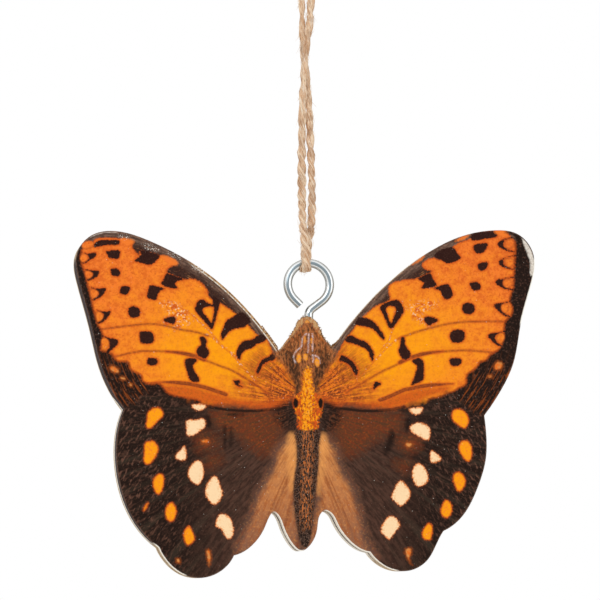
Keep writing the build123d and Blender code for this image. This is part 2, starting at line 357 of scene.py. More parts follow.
tan_dots_px = [
    [(109.5, 367), (113, 365.3), (119, 369), (118.5, 373), (114, 373), (110, 370.5)],
    [(120, 376.5), (125, 377), (126, 380), (121, 380)],
    [(128.6, 383), (132.4, 383.5), (132, 386.5), (129, 386)],
    [(493.6, 367), (497, 361), (502.6, 363), (502, 368.6), (496, 370.6)],
    [(487.6, 375), (492, 374.6), (492.4, 377.6), (488, 378)],
    [(506.4, 376), (510, 371.6), (510.4, 376), (507.6, 378.6)],
    [(176, 558.7), (180, 559), (180.5, 563), (177, 563)],
    [(206, 551), (209.6, 549.5), (211.4, 558), (209, 566.6), (207, 560)],
    [(405, 549), (410.6, 547.6), (412, 552), (410, 559), (411.6, 564.6), (408.6, 561), (405.6, 556)],
    [(201, 440), (207, 438.8), (210, 441), (207, 443.5), (202, 443)],
    [(405, 443.5), (409, 442), (413, 444), (410, 447.6), (406, 447)],
]
orange_spots_px = [
    # hindwings
    [(147.5, 413), (153, 408), (160, 408), (163.5, 415), (158, 421), (151, 428), (146, 427), (147, 418)],
    [(145, 443), (150, 441), (154, 441), (158.5, 448), (156, 456), (151, 463), (147, 464.5),
     (143.5, 461), (144, 453)],
    [(161, 473.5), (164, 477), (163.5, 486), (160, 494), (156, 493), (153, 486), (153.5, 479), (157, 475)],
    [(172.5, 502.5), (176, 508), (176.5, 514), (173, 521), (168.5, 521), (165.5, 516), (165.5, 509),
     (168.5, 504)],
    [(188, 526), (191, 528), (194.5, 536), (194, 541), (188, 545.5), (185, 542), (183.5, 533)],
    [(147, 502.5), (148.5, 504), (145, 511), (143, 509.5)],
    [(453, 410.5), (460, 409), (466, 413), (469, 421), (467, 426), (464, 428.5), (458, 425), (452, 419)],
    [(461, 441.5), (467, 440.5), (471.5, 446), (472, 454), (471, 459.5), (467, 461.5), (462, 456),
     (458.5, 448)],
    [(454, 474), (459, 472), (464, 476), (465.5, 483), (462, 490), (458, 491.5), (455, 486), (453, 480)],
    [(444.5, 500.5), (449, 501), (452, 506), (451.5, 513), (447.5, 518), (443, 516.5), (440.5, 511)],
    [(429, 523), (432.5, 527), (432, 535), (430, 540), (424, 539), (422, 534), (424, 528)],
]
margin_dots_px = [
    [(82, 243.6), (86, 241.4), (92, 241.4), (93, 244), (90, 247.4), (84, 248), (82, 246.4)],
    [(80.6, 256.4), (83, 254.4), (86.4, 255), (87.8, 257.8), (86, 260.6), (82.4, 261.4), (80.4, 259.6)],
    [(85, 272.6), (88, 271.2), (91.4, 272.6), (92.2, 275.4), (89.8, 277.8), (86.6, 277.8)],
    [(90.4, 291.4), (93.6, 289.6), (97.2, 291.4), (97.4, 294.8), (94.4, 297.6), (91.4, 296.8)],
    [(96.4, 314), (99.2, 312), (102.2, 314), (102.6, 317.8), (99.8, 320.8), (97.2, 320)],
    [(101.4, 340.6), (104.4, 338.2), (107.8, 340), (108.4, 344), (105.4, 349), (102.8, 347.4)],
    [(506, 241.6), (510, 239.8), (513.4, 242), (512.6, 246), (508.6, 247.8), (505.8, 245.4)],
    [(505.8, 260.8), (509.4, 258.6), (512.8, 260.8), (512.2, 264.4), (508.8, 266.4), (506, 264.2)],
    [(503.6, 281.8), (507.4, 279.8), (511, 282), (510.4, 285.6), (507, 287.6), (504, 285.6)],
    [(501.6, 305.8), (505.2, 303.8), (508.4, 306), (507.4, 310.2), (504.4, 312.4), (501.8, 310)],
    [(497.6, 335.6), (501, 333.2), (504.2, 335.6), (503.2, 340.4), (500, 343.2), (497.6, 340.4)],
]
cream_spots_px = [
    [(191.8, 404.8), (197, 404), (205.2, 404.6), (204.8, 408.4), (199, 410.8), (194, 409)],
    [(409.4, 408.8), (415, 407.6), (422.6, 407.6), (421.4, 412.6), (416, 414.6), (411, 412.4)],
    [(186, 421.5), (190, 419.6), (196, 420), (202, 418.4), (205.2, 421), (204.8, 427), (200, 431),
     (193, 435.6), (187, 435.4), (186.4, 428)],
    [(184.5, 446), (186, 451), (186, 459), (181, 460.6), (177, 459), (175.4, 455.6), (180, 450.5)],
    [(198, 460.5), (202, 463), (203.7, 472), (202, 480), (198.4, 484.4), (193, 482.6), (188.4, 476),
     (189, 469), (193, 463)],
    [(214, 475.8), (218, 479), (220.5, 487), (222.6, 492.5), (220, 500), (214.6, 504.8), (209.4, 501),
     (205.4, 494), (206, 487), (210, 480)],
    [(218.6, 515.4), (224, 514), (230.4, 518.6), (233.4, 528), (232.8, 535.6), (228, 539), (224, 534),
     (221, 529), (215.6, 525.4)],
    [(410.5, 426), (419, 422.5), (429, 427), (430, 436), (427, 440), (418, 436), (411, 431)],
    [(431.5, 450.5), (436, 453), (441, 458.5), (437, 462), (431, 462), (430, 456)],
    [(418, 463.5), (423, 466), (427, 472), (428, 479), (425, 484), (418, 486.5), (414, 482),
     (412, 474), (414, 467)],
    [(401, 480.5), (405, 484), (409.5, 490), (410, 496), (406, 502), (401, 506), (395, 502),
     (391.5, 497), (394, 490), (397, 484)],
    [(392, 516), (397, 519), (400, 526), (396, 531), (390, 539), (385, 536), (381, 531), (383, 524),
     (388, 517.5)],
]
golden_marks_px = [
    [(289, 434), (296, 436), (296.6, 462), (294, 482), (291, 492), (289, 470), (287, 450)],
    [(319, 436), (326, 436), (327, 450), (323, 474), (318.4, 494), (317.4, 478), (319.4, 460)],
]
hindwings_px = [
    (60, 409), (124, 407), (145, 392), (168, 396), (180, 399), (195, 403), (215, 405), (235, 405),
    (255, 408), (272, 408), (283, 405), (290, 400), (298, 402), (306, 404), (316, 402), (325, 401),
    (335, 406), (345, 404), (360, 405.5), (375, 407.7), (388, 409), (400, 407), (412, 404),
    (430, 400), (443, 397), (452, 393), (484, 415), (545, 420), (545, 600), (60, 600),
]
rust_patches_px = [
    [(218, 408), (250, 408), (275, 411), (284, 418), (280, 440), (268, 455), (250, 447), (236, 436),
     (222, 430), (212, 418)],
    [(334, 410), (355, 410), (382, 412), (400, 416), (398, 432), (380, 438), (362, 450), (345, 456),
     (336, 440)],
    [(198, 436), (214, 436), (218, 446), (206, 452), (197, 447)],
    [(400, 436), (418, 434), (420, 446), (408, 452), (399, 446)],
    [(207.5, 457), (219, 457), (217, 465), (211, 468), (208, 463)],
    [(397.3, 461.5), (408, 462.2), (408, 467.6), (405, 471.4), (401, 468.4), (397, 464.5)],
]
black_sides_px = [
    [(276, 408), (286, 402), (296, 404), (297, 426), (292, 430), (283, 426), (276, 420)],
    [(321, 404), (330, 402), (338, 407), (341, 418), (335, 428), (325, 430), (320, 424)],
]
black_patches_px = [
    [(223.5, 428), (226, 427.5), (226, 448), (223.5, 447)],
    [(229.5, 429), (232, 429.5), (232, 444.5), (229.5, 444)],
    [(391.2, 429.9), (395.4, 435.3), (393.9, 440.6), (391.6, 447.5), (387.8, 454.4), (384.7, 455.2),
     (384, 449.8), (387, 440.6), (389.3, 435.3)],
    [(206, 416), (211.5, 417), (211, 427.5), (206.5, 427)],
    [(406.1, 420), (409.6, 418.4), (410.4, 421.5), (409.6, 428.4), (406.9, 430.7), (405, 427.6)],
    [(209, 405), (213, 405), (213, 407), (209, 407)],
    [(400.8, 410), (406.9, 408.5), (407.7, 411.6), (403.9, 412.3)],
    [(229, 413), (243, 413.5), (243, 416), (229, 415.5)],
]
fans_px = [
    [(279, 446), (297, 440), (297, 500), (300, 555), (262, 560), (236, 552), (243, 530), (249, 518),
     (253, 505), (257, 494), (264, 481), (271.8, 467)],
    [(317, 440), (334, 444), (339, 458), (345, 473), (353, 486), (357.4, 499), (360.6, 511), (363.6, 523),
     (367, 540), (376, 558), (344, 560), (303, 555), (316, 500)],
]
abdomen_px = [
    (296, 430), (296.6, 445), (296.8, 461.6), (294.2, 479), (293.4, 496.3), (295.6, 518.4), (300.2, 541),
    (304.5, 547.5), (307.5, 547), (310.8, 537.4), (313.4, 516.8), (315.6, 493), (317, 479), (318.7, 461.6),
    (319, 445), (319.2, 430),
]
thorax_px = [
    (305, 369), (310.6, 369), (312, 380), (314, 390), (321, 398), (322, 410), (318.6, 420), (316.8, 429),
    (298.6, 429), (298, 420), (295, 410), (294.6, 398), (302, 390), (303.6, 380),
]
head_px = [
    (307, 314), (313, 322), (322, 338), (333, 349), (337, 356), (327, 370), (319, 386), (318, 398),
    (312, 392), (311, 372), (303, 372), (301, 392), (295, 398), (294, 386), (287, 370), (276, 357),
    (277, 349), (290, 336), (300, 321),
]
lilac_lines_px = [
    [(306, 333.7), (302.6, 338.4), (301, 347), (296.4, 350.8), (293.6, 356.4), (295.4, 363)],
    [(308.6, 333.7), (308.4, 341), (308, 352.6)],
    [(312.4, 333.7), (312.6, 341), (312.4, 351)],
    [(312.4, 355), (313.4, 358), (312.8, 362)],
    [(314.7, 355.4), (318.4, 357.4), (319.8, 363)],
]
lilac_half_width_px = 0.5
belly_line_px = [(308.5, 366), (307.5, 430), (307.5, 460), (306, 500), (305.5, 545)]
head_spots_px = [
    [(304.8, 320.5), (307.3, 319.6), (309.6, 322), (307, 323), (304.6, 322.6)],
    [(304, 336.5), (305.5, 338), (305.5, 343), (304, 343.5)],
    [(311, 338), (312.3, 339), (312.3, 343), (310.8, 343)],
    [(299, 353), (301, 357), (300.5, 362), (298, 362.5), (296.7, 359), (297.5, 355)],
    [(303.5, 354.5), (306.5, 354), (307.5, 358), (306, 361), (303.5, 358.5)],
    [(316, 358.5), (318.5, 359), (319.5, 363.5), (317.5, 367), (315.2, 364.5), (314.8, 361)],
]
glow_centres_px = [(222, 352), (392, 352)]
glow_reach_px = (92, 66)
wing_root_px = (307, 404)
rim_reach_px = 30.0
# So many corners are measured against the rim at once, to save memory
corners_at_once = 4000
# Torn edges: a line of points, the number of splinters along it and their longest length's share
head_splinters_px = [
    ([(290, 338), (294, 332), (296.5, 327), (299, 322), (303, 318)], 110, 1.0),
    ([(303, 318), (307, 316.5), (311, 318)], 16, 0.5),
    ([(311, 318), (315, 322), (318.5, 328), (321, 334), (325, 341), (331, 347)], 90, 1.0),
    ([(331, 347), (338, 341), (348, 329), (360, 315)], 60, 0.6),
    ([(262, 326), (270, 337), (278, 348)], 26, 0.5),
    ([(279, 351), (284, 345), (290, 338)], 18, 0.5),
]

# The twine's route as the photograph shows it, from the eye up: across, depth and height in metres.
# The right leg passes in front at the crossing and hangs on the left below it.
right_leg_route = [
    (-0.00085, -0.00165, -0.0575), (-0.0013, -0.0012, -0.0546), (-0.00138, -0.0004, -0.0504),
    (-0.0014, -0.0001, -0.0446), (-0.00142, -0.0002, -0.0364), (-0.00136, -0.0005, -0.0294),
    (-0.00118, -0.0008, -0.0249), (-0.00092, -0.0009, -0.0205), (-0.0007, -0.0008, -0.0175),
    (-0.00034, -0.0006, -0.0152), (0.00022, -0.0002, -0.0125), (0.0003, 0.0, -0.0095),
    (0.0007, 0.0, -0.0065), (0.0013, 0.0, -0.0035), (0.0013, -0.00002, 0.0),
]
left_leg_route = [
    (-0.0001, 0.00165, -0.0575), (0.00045, 0.0012, -0.0546), (0.00074, 0.0004, -0.0504),
    (0.00066, 0.0001, -0.0446), (0.00036, 0.0002, -0.0364), (0.00022, 0.0005, -0.0294),
    (-0.0001, 0.0008, -0.0249), (-0.00062, 0.0009, -0.0205), (-0.00088, 0.0008, -0.0175),
    (-0.00106, 0.0006, -0.0152), (-0.00126, 0.0002, -0.0125), (-0.00134, 0.0, -0.0095),
    (-0.0015, 0.0, -0.0065), (-0.0017, 0.0, -0.0035), (-0.0013, 0.00002, 0.0),
]
bight_route = [(-0.0008, -0.00165, -0.06152), (-0.0006, 0.00165, -0.06152)]
# The overhand knot of the doubled twine: one strand's route from the leg to the cut end.
right_knot_route = [
    (0.0009, 0.0, 0.0016), (0.0022, -0.0012, 0.0034), (0.0016, -0.0026, 0.0056),
    (-0.0008, -0.0022, 0.0062), (-0.0026, 0.0002, 0.0046), (-0.0016, 0.0026, 0.0024),
    (0.0012, 0.0026, 0.0016), (0.0030, 0.0002, 0.0030), (0.0016, -0.0012, 0.0050),
    (0.0007, 0.0002, 0.0072), (0.0010, 0.0002, 0.0095), (0.0019, 0.0002, 0.0125),
]
left_knot_route = [
    (-0.0009, 0.0, 0.0014), (0.0004, -0.0020, 0.0020), (0.0002, -0.0040, 0.0040),
    (-0.0022, -0.0030, 0.0046), (-0.0036, 0.0002, 0.0030), (-0.0020, 0.0030, 0.0008),
    (0.0016, 0.0032, 0.0002), (0.0038, 0.0008, 0.0014), (0.0026, -0.0008, 0.0036),
    (-0.0006, 0.0008, 0.0066), (-0.0008, 0.0004, 0.0090), (-0.0016, 0.0002, 0.0120),
]
half_way = -0.0300
# Heights over which the winding gets tight, and over which it loosens again at the wire
tightening = (-0.030, -0.048)
loosening = (-0.0565, -0.0605)
knot_foot = -0.006
# The left strand's widest place, and the thin place of the leg that hangs behind the crossing
wide_height, wide_reach, wide_share = -0.0415, 0.013, 0.16
thin_height, thin_reach, thin_share = -0.0105, 0.004, 0.26
thin_top = -0.007
# How the wire changes the twine that it presses on: wider across, thinner in depth and height
bight_flatness = (0.38, -0.12, -0.40)
# Waves round a ply's section: their number, their height and how fast they turn along it
fibre_waves = [(3, 0.07, 700), (5, 0.07, 1500), (8, 0.05, 2300), (11, 0.035, 3100)]
hair_spacing = 0.00022

# The stage
floor_height = -0.175
stage_middle = -0.085
surroundings_strength = 0.82


def ink(red, green, blue):
    """A screen colour, from 0 to 255 a channel, as the linear colour that shaders read."""
    shares = [channel / 255 for channel in (red, green, blue)]
    return tuple(
        share / 12.92 if share <= 0.04045 else ((share + 0.055) / 1.055) ** 2.4 for share in shares
    )


def colour_property(name, description, default):
    return FloatVectorProperty(
        name=name, description=description, default=default, subtype="COLOR", size=3, min=0, max=1
    )


def length_property(name, description, default):
    return FloatProperty(
        name=name, description=description, default=default, subtype="DISTANCE", unit="LENGTH",
        precision=5, min=0,
    )


class ButterflySizes(bpy.types.PropertyGroup):
    """Sizes that a user of the ornament might change."""
    print_cell: length_property("Print cell", "Spacing of the print's mesh", 0.00025)
    twine_diameter: length_property("Twine", "Diameter of the twine", 0.0015)
    twine_pitch: length_property("Twine pitch", "Length of one whole turn of the two plies", 0.0046)
    hair_length: length_property("Loose fibre", "Length of a loose fibre on the twine", 0.0019)
    hair_radius: length_property("Fibre radius", "Radius of a loose fibre at its root", 0.000032)
    wire_sides: IntProperty(name="Wire sides", description="Faces round the wire", default=32, min=8)
    splinter_length: length_property("Splinter", "Length of a torn splinter at the head", 0.0011)


class ButterflyColours(bpy.types.PropertyGroup):
    """Colours of the print, wood, wire and twine."""
    orange_bright: colour_property("Bright orange", "Middle of the wings", ink(255, 161, 4))
    orange_deep: colour_property("Deep orange", "Outer part of the wings", ink(243, 124, 42))
    orange_red: colour_property("Red orange", "Flecks and halos", ink(204, 84, 22))
    mark_dark: colour_property("Dark marks", "Bars and spots", ink(44, 17, 10))
    band_grey: colour_property("Leading band", "Grey brown band", ink(134, 104, 88))
    hind_dark: colour_property("Hindwing dark", "Ground of the hindwings", ink(28, 14, 7))
    hind_brown: colour_property("Hindwing brown", "Speckles and root", ink(104, 70, 56))
    hind_green: colour_property("Hindwing green", "Grey green streaks", ink(64, 54, 42))
    rust: colour_property("Rust", "Red brown patches", ink(112, 50, 26))
    vein_brown: colour_property("Vein", "Lines of the veins", ink(156, 74, 22))
    cream: colour_property("Cream", "Pale spots", ink(253, 218, 172))
    spot_orange: colour_property("Spot orange", "Orange spots", ink(252, 158, 10))
    fan_tan: colour_property("Fan", "Tan fan beside the body", ink(184, 116, 70))
    fan_mauve: colour_property("Fan edge", "Mauve brown end of the fan", ink(116, 82, 68))
    golden: colour_property("Golden", "Golden strips beside the body", ink(232, 156, 84))
    head_brown: colour_property("Head brown", "Head", ink(174, 104, 58))
    head_dark: colour_property("Head dark", "Both sides of the neck", ink(84, 52, 30))
    lilac: colour_property("Lilac", "Pale outlines on the head", ink(236, 216, 216))
    paper: colour_property("Paper", "Bare paper at the rim", ink(244, 238, 226))
    veneer: colour_property("Face veneer", "Outer plies", ink(226, 204, 168))
    veneer_dark: colour_property("Veneer grain", "Dark grain of the outer plies", ink(202, 172, 132))
    core: colour_property("Core veneer", "Middle ply", ink(222, 200, 166))
    core_dark: colour_property("Core grain", "Dark streaks of the middle ply", ink(122, 94, 66))
    splinter: colour_property("Splinters", "Torn fibres at the head", ink(196, 154, 104))
    splinter_dark: colour_property("Dark splinters", "Shadowed fibres at the head", ink(120, 80, 44))
    # Painted reflections: the three zinc colours paint the pale, blue and dark stripes that the wire's
    # surroundings would reflect along it
    zinc: colour_property("Zinc", "Bright stripes of the plate", ink(248, 250, 250))
    zinc_blue_reflection: colour_property("Blue zinc", "Stripe along the middle of the wire", ink(136, 149, 156))
    zinc_dark_reflection_and_marks: colour_property("Dark zinc", "Dark lines along the wire's sides", ink(146, 145, 139))
    jute: colour_property("Jute", "Pale fibres of the twine", ink(240, 216, 187))
    jute_tan: colour_property("Jute tan", "Darker fibres of the twine", ink(216, 174, 137))
    # Painted shade: besides dark fibres, this colour darkens the twine down between its plies
    jute_dark_and_crease_shade: colour_property("Jute brown", "Grooves of the twine", ink(150, 104, 70))
    floor: colour_property("Floor", "Floor", ink(232, 231, 228))


# Shader building

class Value:
    """A node's output, so that sums, products and ramps of it are written as in plain Python."""

    def __init__(self, socket):
        self.socket = socket
        self.tree = socket.id_data

    def maths(self, operation, *others, clamp=False):
        inputs = dict(enumerate((self, *others)))
        return output(self.tree, "ShaderNodeMath", inputs, operation=operation, use_clamp=clamp)

    def __add__(self, other):
        return self.maths("ADD", other)

    def __sub__(self, other):
        return self.maths("SUBTRACT", other)

    def __mul__(self, other):
        return self.maths("MULTIPLY", other)

    def __abs__(self):
        return self.maths("ABSOLUTE")

    def ramp(self, low, high, start, end):
        """Goes softly from low to high while this value goes from start to end."""
        return output(self.tree, "ShaderNodeMapRange", {
            "Value": self, "From Min": start, "From Max": end, "To Min": low, "To Max": high,
        }, interpolation_type="SMOOTHSTEP")

    def rise(self, start, end, top=1.0):
        return self.ramp(0.0, top, start, end)

    def fall(self, start, end, top=1.0):
        return self.ramp(top, 0.0, start, end)


def set_inputs(node, inputs):
    """Sets a node's inputs, each to a plain value or to the output of another node."""
    for key, value in inputs.items():
        socket = node.inputs[key]
        if isinstance(value, Value):
            value.tree.links.new(value.socket, socket)
        elif socket.type == "RGBA":
            socket.default_value = (*value[:3], 1)
        else:
            socket.default_value = value


def add_node(tree, kind, inputs=None, **settings):
    node = tree.nodes.new(kind)
    for name, value in settings.items():
        setattr(node, name, value)
    set_inputs(node, inputs or {})
    return node


def output(tree, kind, inputs=None, key=0, **settings):
    """One output of a new node, the first if no key is given."""
    return Value(add_node(tree, kind, inputs, **settings).outputs[key])


def over(share, first, second):
    """The second colour laid over the first, by a share from 0 to 1."""
    return output(share.tree, "ShaderNodeMix", {0: share, 6: first, 7: second}, 2, data_type="RGBA")


def laid(colour, *layers):
    """A colour with others laid over it in turn, each given as its share and the colour."""
    for share, upper in layers:
        colour = over(share, colour, upper)
    return colour


def object_point(tree):
    return output(tree, "ShaderNodeTexCoord", key="Object")


def attribute(tree, name, key="Fac"):
    return output(tree, "ShaderNodeAttribute", key=key, attribute_name=name)


def axes(point):
    """The three coordinates of a point."""
    return [Value(socket) for socket in add_node(
        point.tree, "ShaderNodeSeparateXYZ", {"Vector": point}
    ).outputs]


def point_of(x, y):
    return output(x.tree, "ShaderNodeCombineXYZ", {"X": x, "Y": y})


def noise(point, scale, detail=2.0, roughness=0.5, stretch=None, distortion=0.0):
    """Noise from 0 to 1, drawn out along each axis whose stretch is below 1."""
    if stretch:
        point = output(point.tree, "ShaderNodeMapping", {"Vector": point, "Scale": stretch})
    return output(point.tree, "ShaderNodeTexNoise", {
        "Vector": point, "Scale": scale, "Detail": detail, "Roughness": roughness,
        "Distortion": distortion,
    })


def new_group(name, inputs, outputs):
    """A new shader node group: its tree, its input values by name and its output node."""
    tree = bpy.data.node_groups.new(name, "ShaderNodeTree")
    for socket_name, kind, default in inputs:
        socket = tree.interface.new_socket(socket_name, in_out="INPUT", socket_type=kind)
        if default is not None:
            socket.default_value = default
    for socket_name, kind in outputs:
        tree.interface.new_socket(socket_name, in_out="OUTPUT", socket_type=kind)
    given = {socket.name: Value(socket) for socket in tree.nodes.new("NodeGroupInput").outputs}
    return tree, given, tree.nodes.new("NodeGroupOutput")


def use_group(tree, name, inputs):
    """The outputs of a shader node group, by name."""
    node = add_node(tree, "ShaderNodeGroup", inputs, node_tree=bpy.data.node_groups[name])
    return {socket.name: Value(socket) for socket in node.outputs}


def make_ink_edge_group():
    """A mask that is 1 inside a printed mark, with a ragged and slightly soft edge."""
    tree, given, put = new_group(
        "Ink edge",
        [
            ("Distance", "NodeSocketFloat", 0.0), ("Ragged", "NodeSocketFloat", 0.6),
            ("Softness", "NodeSocketFloat", 0.5), ("Scale", "NodeSocketFloat", 2600.0),
        ],
        [("Mask", "NodeSocketFloat")],
    )
    fine = noise(object_point(tree), given["Scale"], 2.0, 0.6)
    moved = given["Distance"] + (fine - 0.5) * given["Ragged"]
    share = moved.maths("DIVIDE", given["Softness"])
    set_inputs(put, {"Mask": output(
        tree, "ShaderNodeMath", {0: 0.5, 1: share}, operation="SUBTRACT", use_clamp=True
    )})


def make_grain_group():
    """Wood grain that runs along one axis of the frame, with its pores as height."""
    tree, given, put = new_group(
        "Wood grain",
        [
            ("Light", "NodeSocketColor", None), ("Dark", "NodeSocketColor", None),
            ("Stretch", "NodeSocketVector", None), ("Scale", "NodeSocketFloat", 900.0),
        ],
        [("Color", "NodeSocketColor"), ("Height", "NodeSocketFloat"), ("Roughness", "NodeSocketFloat")],
    )
    point = output(
        tree, "ShaderNodeVectorMath", {0: object_point(tree), 1: given["Stretch"]}, operation="MULTIPLY"
    )
    wide = noise(point, given["Scale"] * 0.18, 2.0, 0.5, distortion=0.4)
    fine = noise(point, given["Scale"], 4.0, 0.65)
    pores = noise(point, given["Scale"] * 2.6, 1.0, 0.5)
    rings = abs((wide * 38.0).maths("SINE"))
    pit = pores.rise(0.60, 0.72)
    colour = laid(
        given["Light"],
        ((rings * 0.30 + fine * 0.75).rise(0.25, 0.85), given["Dark"]),
        (pit * 0.45, given["Dark"]),
    )
    set_inputs(put, {
        "Color": colour, "Height": fine - pit, "Roughness": fine.ramp(0.62, 0.80, 0.0, 1.0),
    })


def new_material(name, inputs):
    """A material with its Principled shader, whose plain inputs are set."""
    material = bpy.data.materials.new(name)
    material.use_nodes = True
    tree = material.node_tree
    shader = next(node for node in tree.nodes if node.type == "BSDF_PRINCIPLED")
    set_inputs(shader, inputs)
    return material, tree, shader


def add_bump(shader, height, strength, distance):
    set_inputs(shader, {"Normal": output(height.tree, "ShaderNodeBump", {
        "Height": height, "Strength": strength, "Distance": distance,
    })})


def make_print_material(colours):
    """The butterfly's print: its colours are laid one over another by distance to each mark."""
    material, tree, shader = new_material("Lacquered_butterfly_print", {"Specular IOR Level": 0.08})
    point = object_point(tree)
    speck = noise(point, 5200, 2.0, 0.7)
    fleck = noise(point, 2300, 3.0, 0.65)
    patch = noise(point, 1050, 3.0, 0.6)
    cloud = noise(point, 420, 3.0, 0.55)
    # Round the roots of the wings: across from the body, up, and by bearing and reach
    x, _, z = axes(point)
    root = placed(wing_root_px)
    from_body = abs(x - root.x)
    from_root = z - root.z
    bearing = from_root.maths("ARCTAN2", from_body + 0.002)
    reach = (from_body * from_body + from_root * from_root).maths("SQRT")
    polar = point_of(bearing * 26.0, reach * 260.0)
    streak = noise(polar, 1.6, 3.0, 0.6)
    dash = noise(polar, 3.4, 2.0, 0.6, stretch=(1.0, 1.5, 1.0))
    long_streak = noise(polar, 1.0, 3.0, 0.6, stretch=(0.9, 0.14, 1.0))
    rim = attribute(tree, "rim")
    beside_edge = point_of(rim * 0.5, from_body * 420.0)
    edge_streak = noise(beside_edge, 1.0, 3.0, 0.6)

    def mask(name, ragged=0.6, softness=0.7, scale=2600.0):
        return use_group(tree, "Ink edge", {
            "Distance": attribute(tree, name), "Ragged": ragged, "Softness": softness, "Scale": scale,
        })["Mask"]

    # Orange ground: brighter in the middle of each wing, with flecks
    glow = attribute(tree, "glow").maths("ADD", (cloud - 0.5) * 0.8, clamp=True)
    orange = over(glow, colours.orange_deep, colours.orange_bright)
    outer = glow.ramp(1.0, 0.3, 0.0, 1.0)
    orange = laid(
        orange,
        (patch.rise(0.42, 0.68, 0.55) * outer, colours.orange_red),
        (fleck.rise(0.48, 0.72, 0.75) * outer, colours.orange_red),
        (speck.rise(0.58, 0.76, 0.3), colours.golden),
    )
    # Root of the wings: red brown fibres that fan out from the body
    near_root = (reach + cloud * 0.006).fall(0.008, 0.0215)
    orange = over(near_root * streak.ramp(0.25, 1.0, 0.34, 0.62) * 0.9, orange, colours.orange_red)
    root_patch = noise(polar, 0.75, 2.0, 0.6, stretch=(1.0, 0.7, 1.0))
    orange = laid(
        orange,
        (
            near_root * root_patch.rise(0.46, 0.6),
            over(fleck.rise(0.4, 0.6), colours.rust, colours.vein_brown),
        ),
        (near_root * patch.rise(0.44, 0.58) * 0.55, colours.rust),
        (near_root * root_patch.fall(0.32, 0.48, 0.5), colours.orange_bright),
        (near_root * dash.rise(0.5, 0.68) * 0.8, colours.rust),
        (near_root * fleck.rise(0.52, 0.64, 0.9), colours.orange_deep),
        (
            mask("red_strip", 3.0, 6.5, 1500.0) * 0.85,
            over(fleck.rise(0.44, 0.66, 0.6), colours.orange_red, colours.vein_brown),
        ),
    )
    # Scars of the lacquer
    scar = mask("scar", 10.0, 6.0, 1500.0)
    orange = laid(
        orange,
        (scar * patch.rise(0.44, 0.56) * 0.9, colours.orange_red),
        (scar * fleck.rise(0.54, 0.62) * 0.75, colours.cream),
    )
    # Veins
    faint = attribute(tree, "faint_vein")
    orange = laid(
        orange,
        (faint.fall(0.2, 1.5, 0.75) * fleck.ramp(0.3, 1.0, 0.3, 0.6), colours.orange_red),
        (faint.fall(0.5, 1.6) * fleck.rise(0.56, 0.64, 0.7), colours.cream),
    )
    far = attribute(tree, "vein_far")
    orange = laid(
        orange,
        (far.fall(0.6, 3.2, 0.45), colours.orange_red),
        (far.fall(0.25, 1.6) * fleck.ramp(0.4, 1.0, 0.3, 0.6) * 0.65, colours.rust),
    )
    thick = attribute(tree, "brown_vein") + reach.rise(0.024, 0.0305, 1.4)
    orange = over(thick.fall(1.4, 4.0, 0.75), orange, colours.orange_red)
    worn = fleck.ramp(0.5, 1.0, 0.34, 0.56)
    orange = laid(
        orange,
        (thick.fall(1.1, 2.3) * worn * 0.9, colours.rust),
        (thick.fall(0.2, 1.1) * 0.95, colours.vein_brown),
    )
    # Dark marks, leading band and margin, with one red halo
    dark, band, margin = [attribute(tree, name) for name in ("dark", "band", "margin")]
    printed = dark.maths("MINIMUM", band.maths("MINIMUM", margin))
    halo = (printed + fleck * 1.4).fall(0.3, 3.6, 0.85)
    colour = over(halo, orange, colours.orange_red)
    mark_colour = over(speck.rise(0.5, 0.8, 0.45), colours.mark_dark, colours.hind_brown)
    band_colour = over(edge_streak.ramp(0.3, 0.9, 0.36, 0.66), colours.hind_dark, colours.band_grey)
    band_colour = laid(
        band_colour,
        (fleck.rise(0.46, 0.66, 0.5), mark_colour),
        (rim.rise(4.0, 11.5, 0.85), mark_colour),
        (edge_streak.rise(0.62, 0.7, 0.35), colours.golden),
        (speck.rise(0.58, 0.76, 0.35), colours.head_brown),
    )
    colour = laid(
        colour,
        (mask("band", 3.4, 1.6), band_colour),
        (mask("dark", 3.0, 1.1), mark_colour),
        (mask("band_streak", 3.2, 2.0) * 0.9, colours.orange_deep),
    )
    margin_colour = over(fleck.rise(0.5, 0.76, 0.8), colours.hind_dark, colours.hind_brown)
    wisp = edge_streak.rise(0.5, 0.66, 0.7) * from_root.fall(0.004, 0.012)
    margin_colour = over(wisp, margin_colour, colours.vein_brown)
    colour = over(mask("margin", 3.6, 3.4), colour, margin_colour)
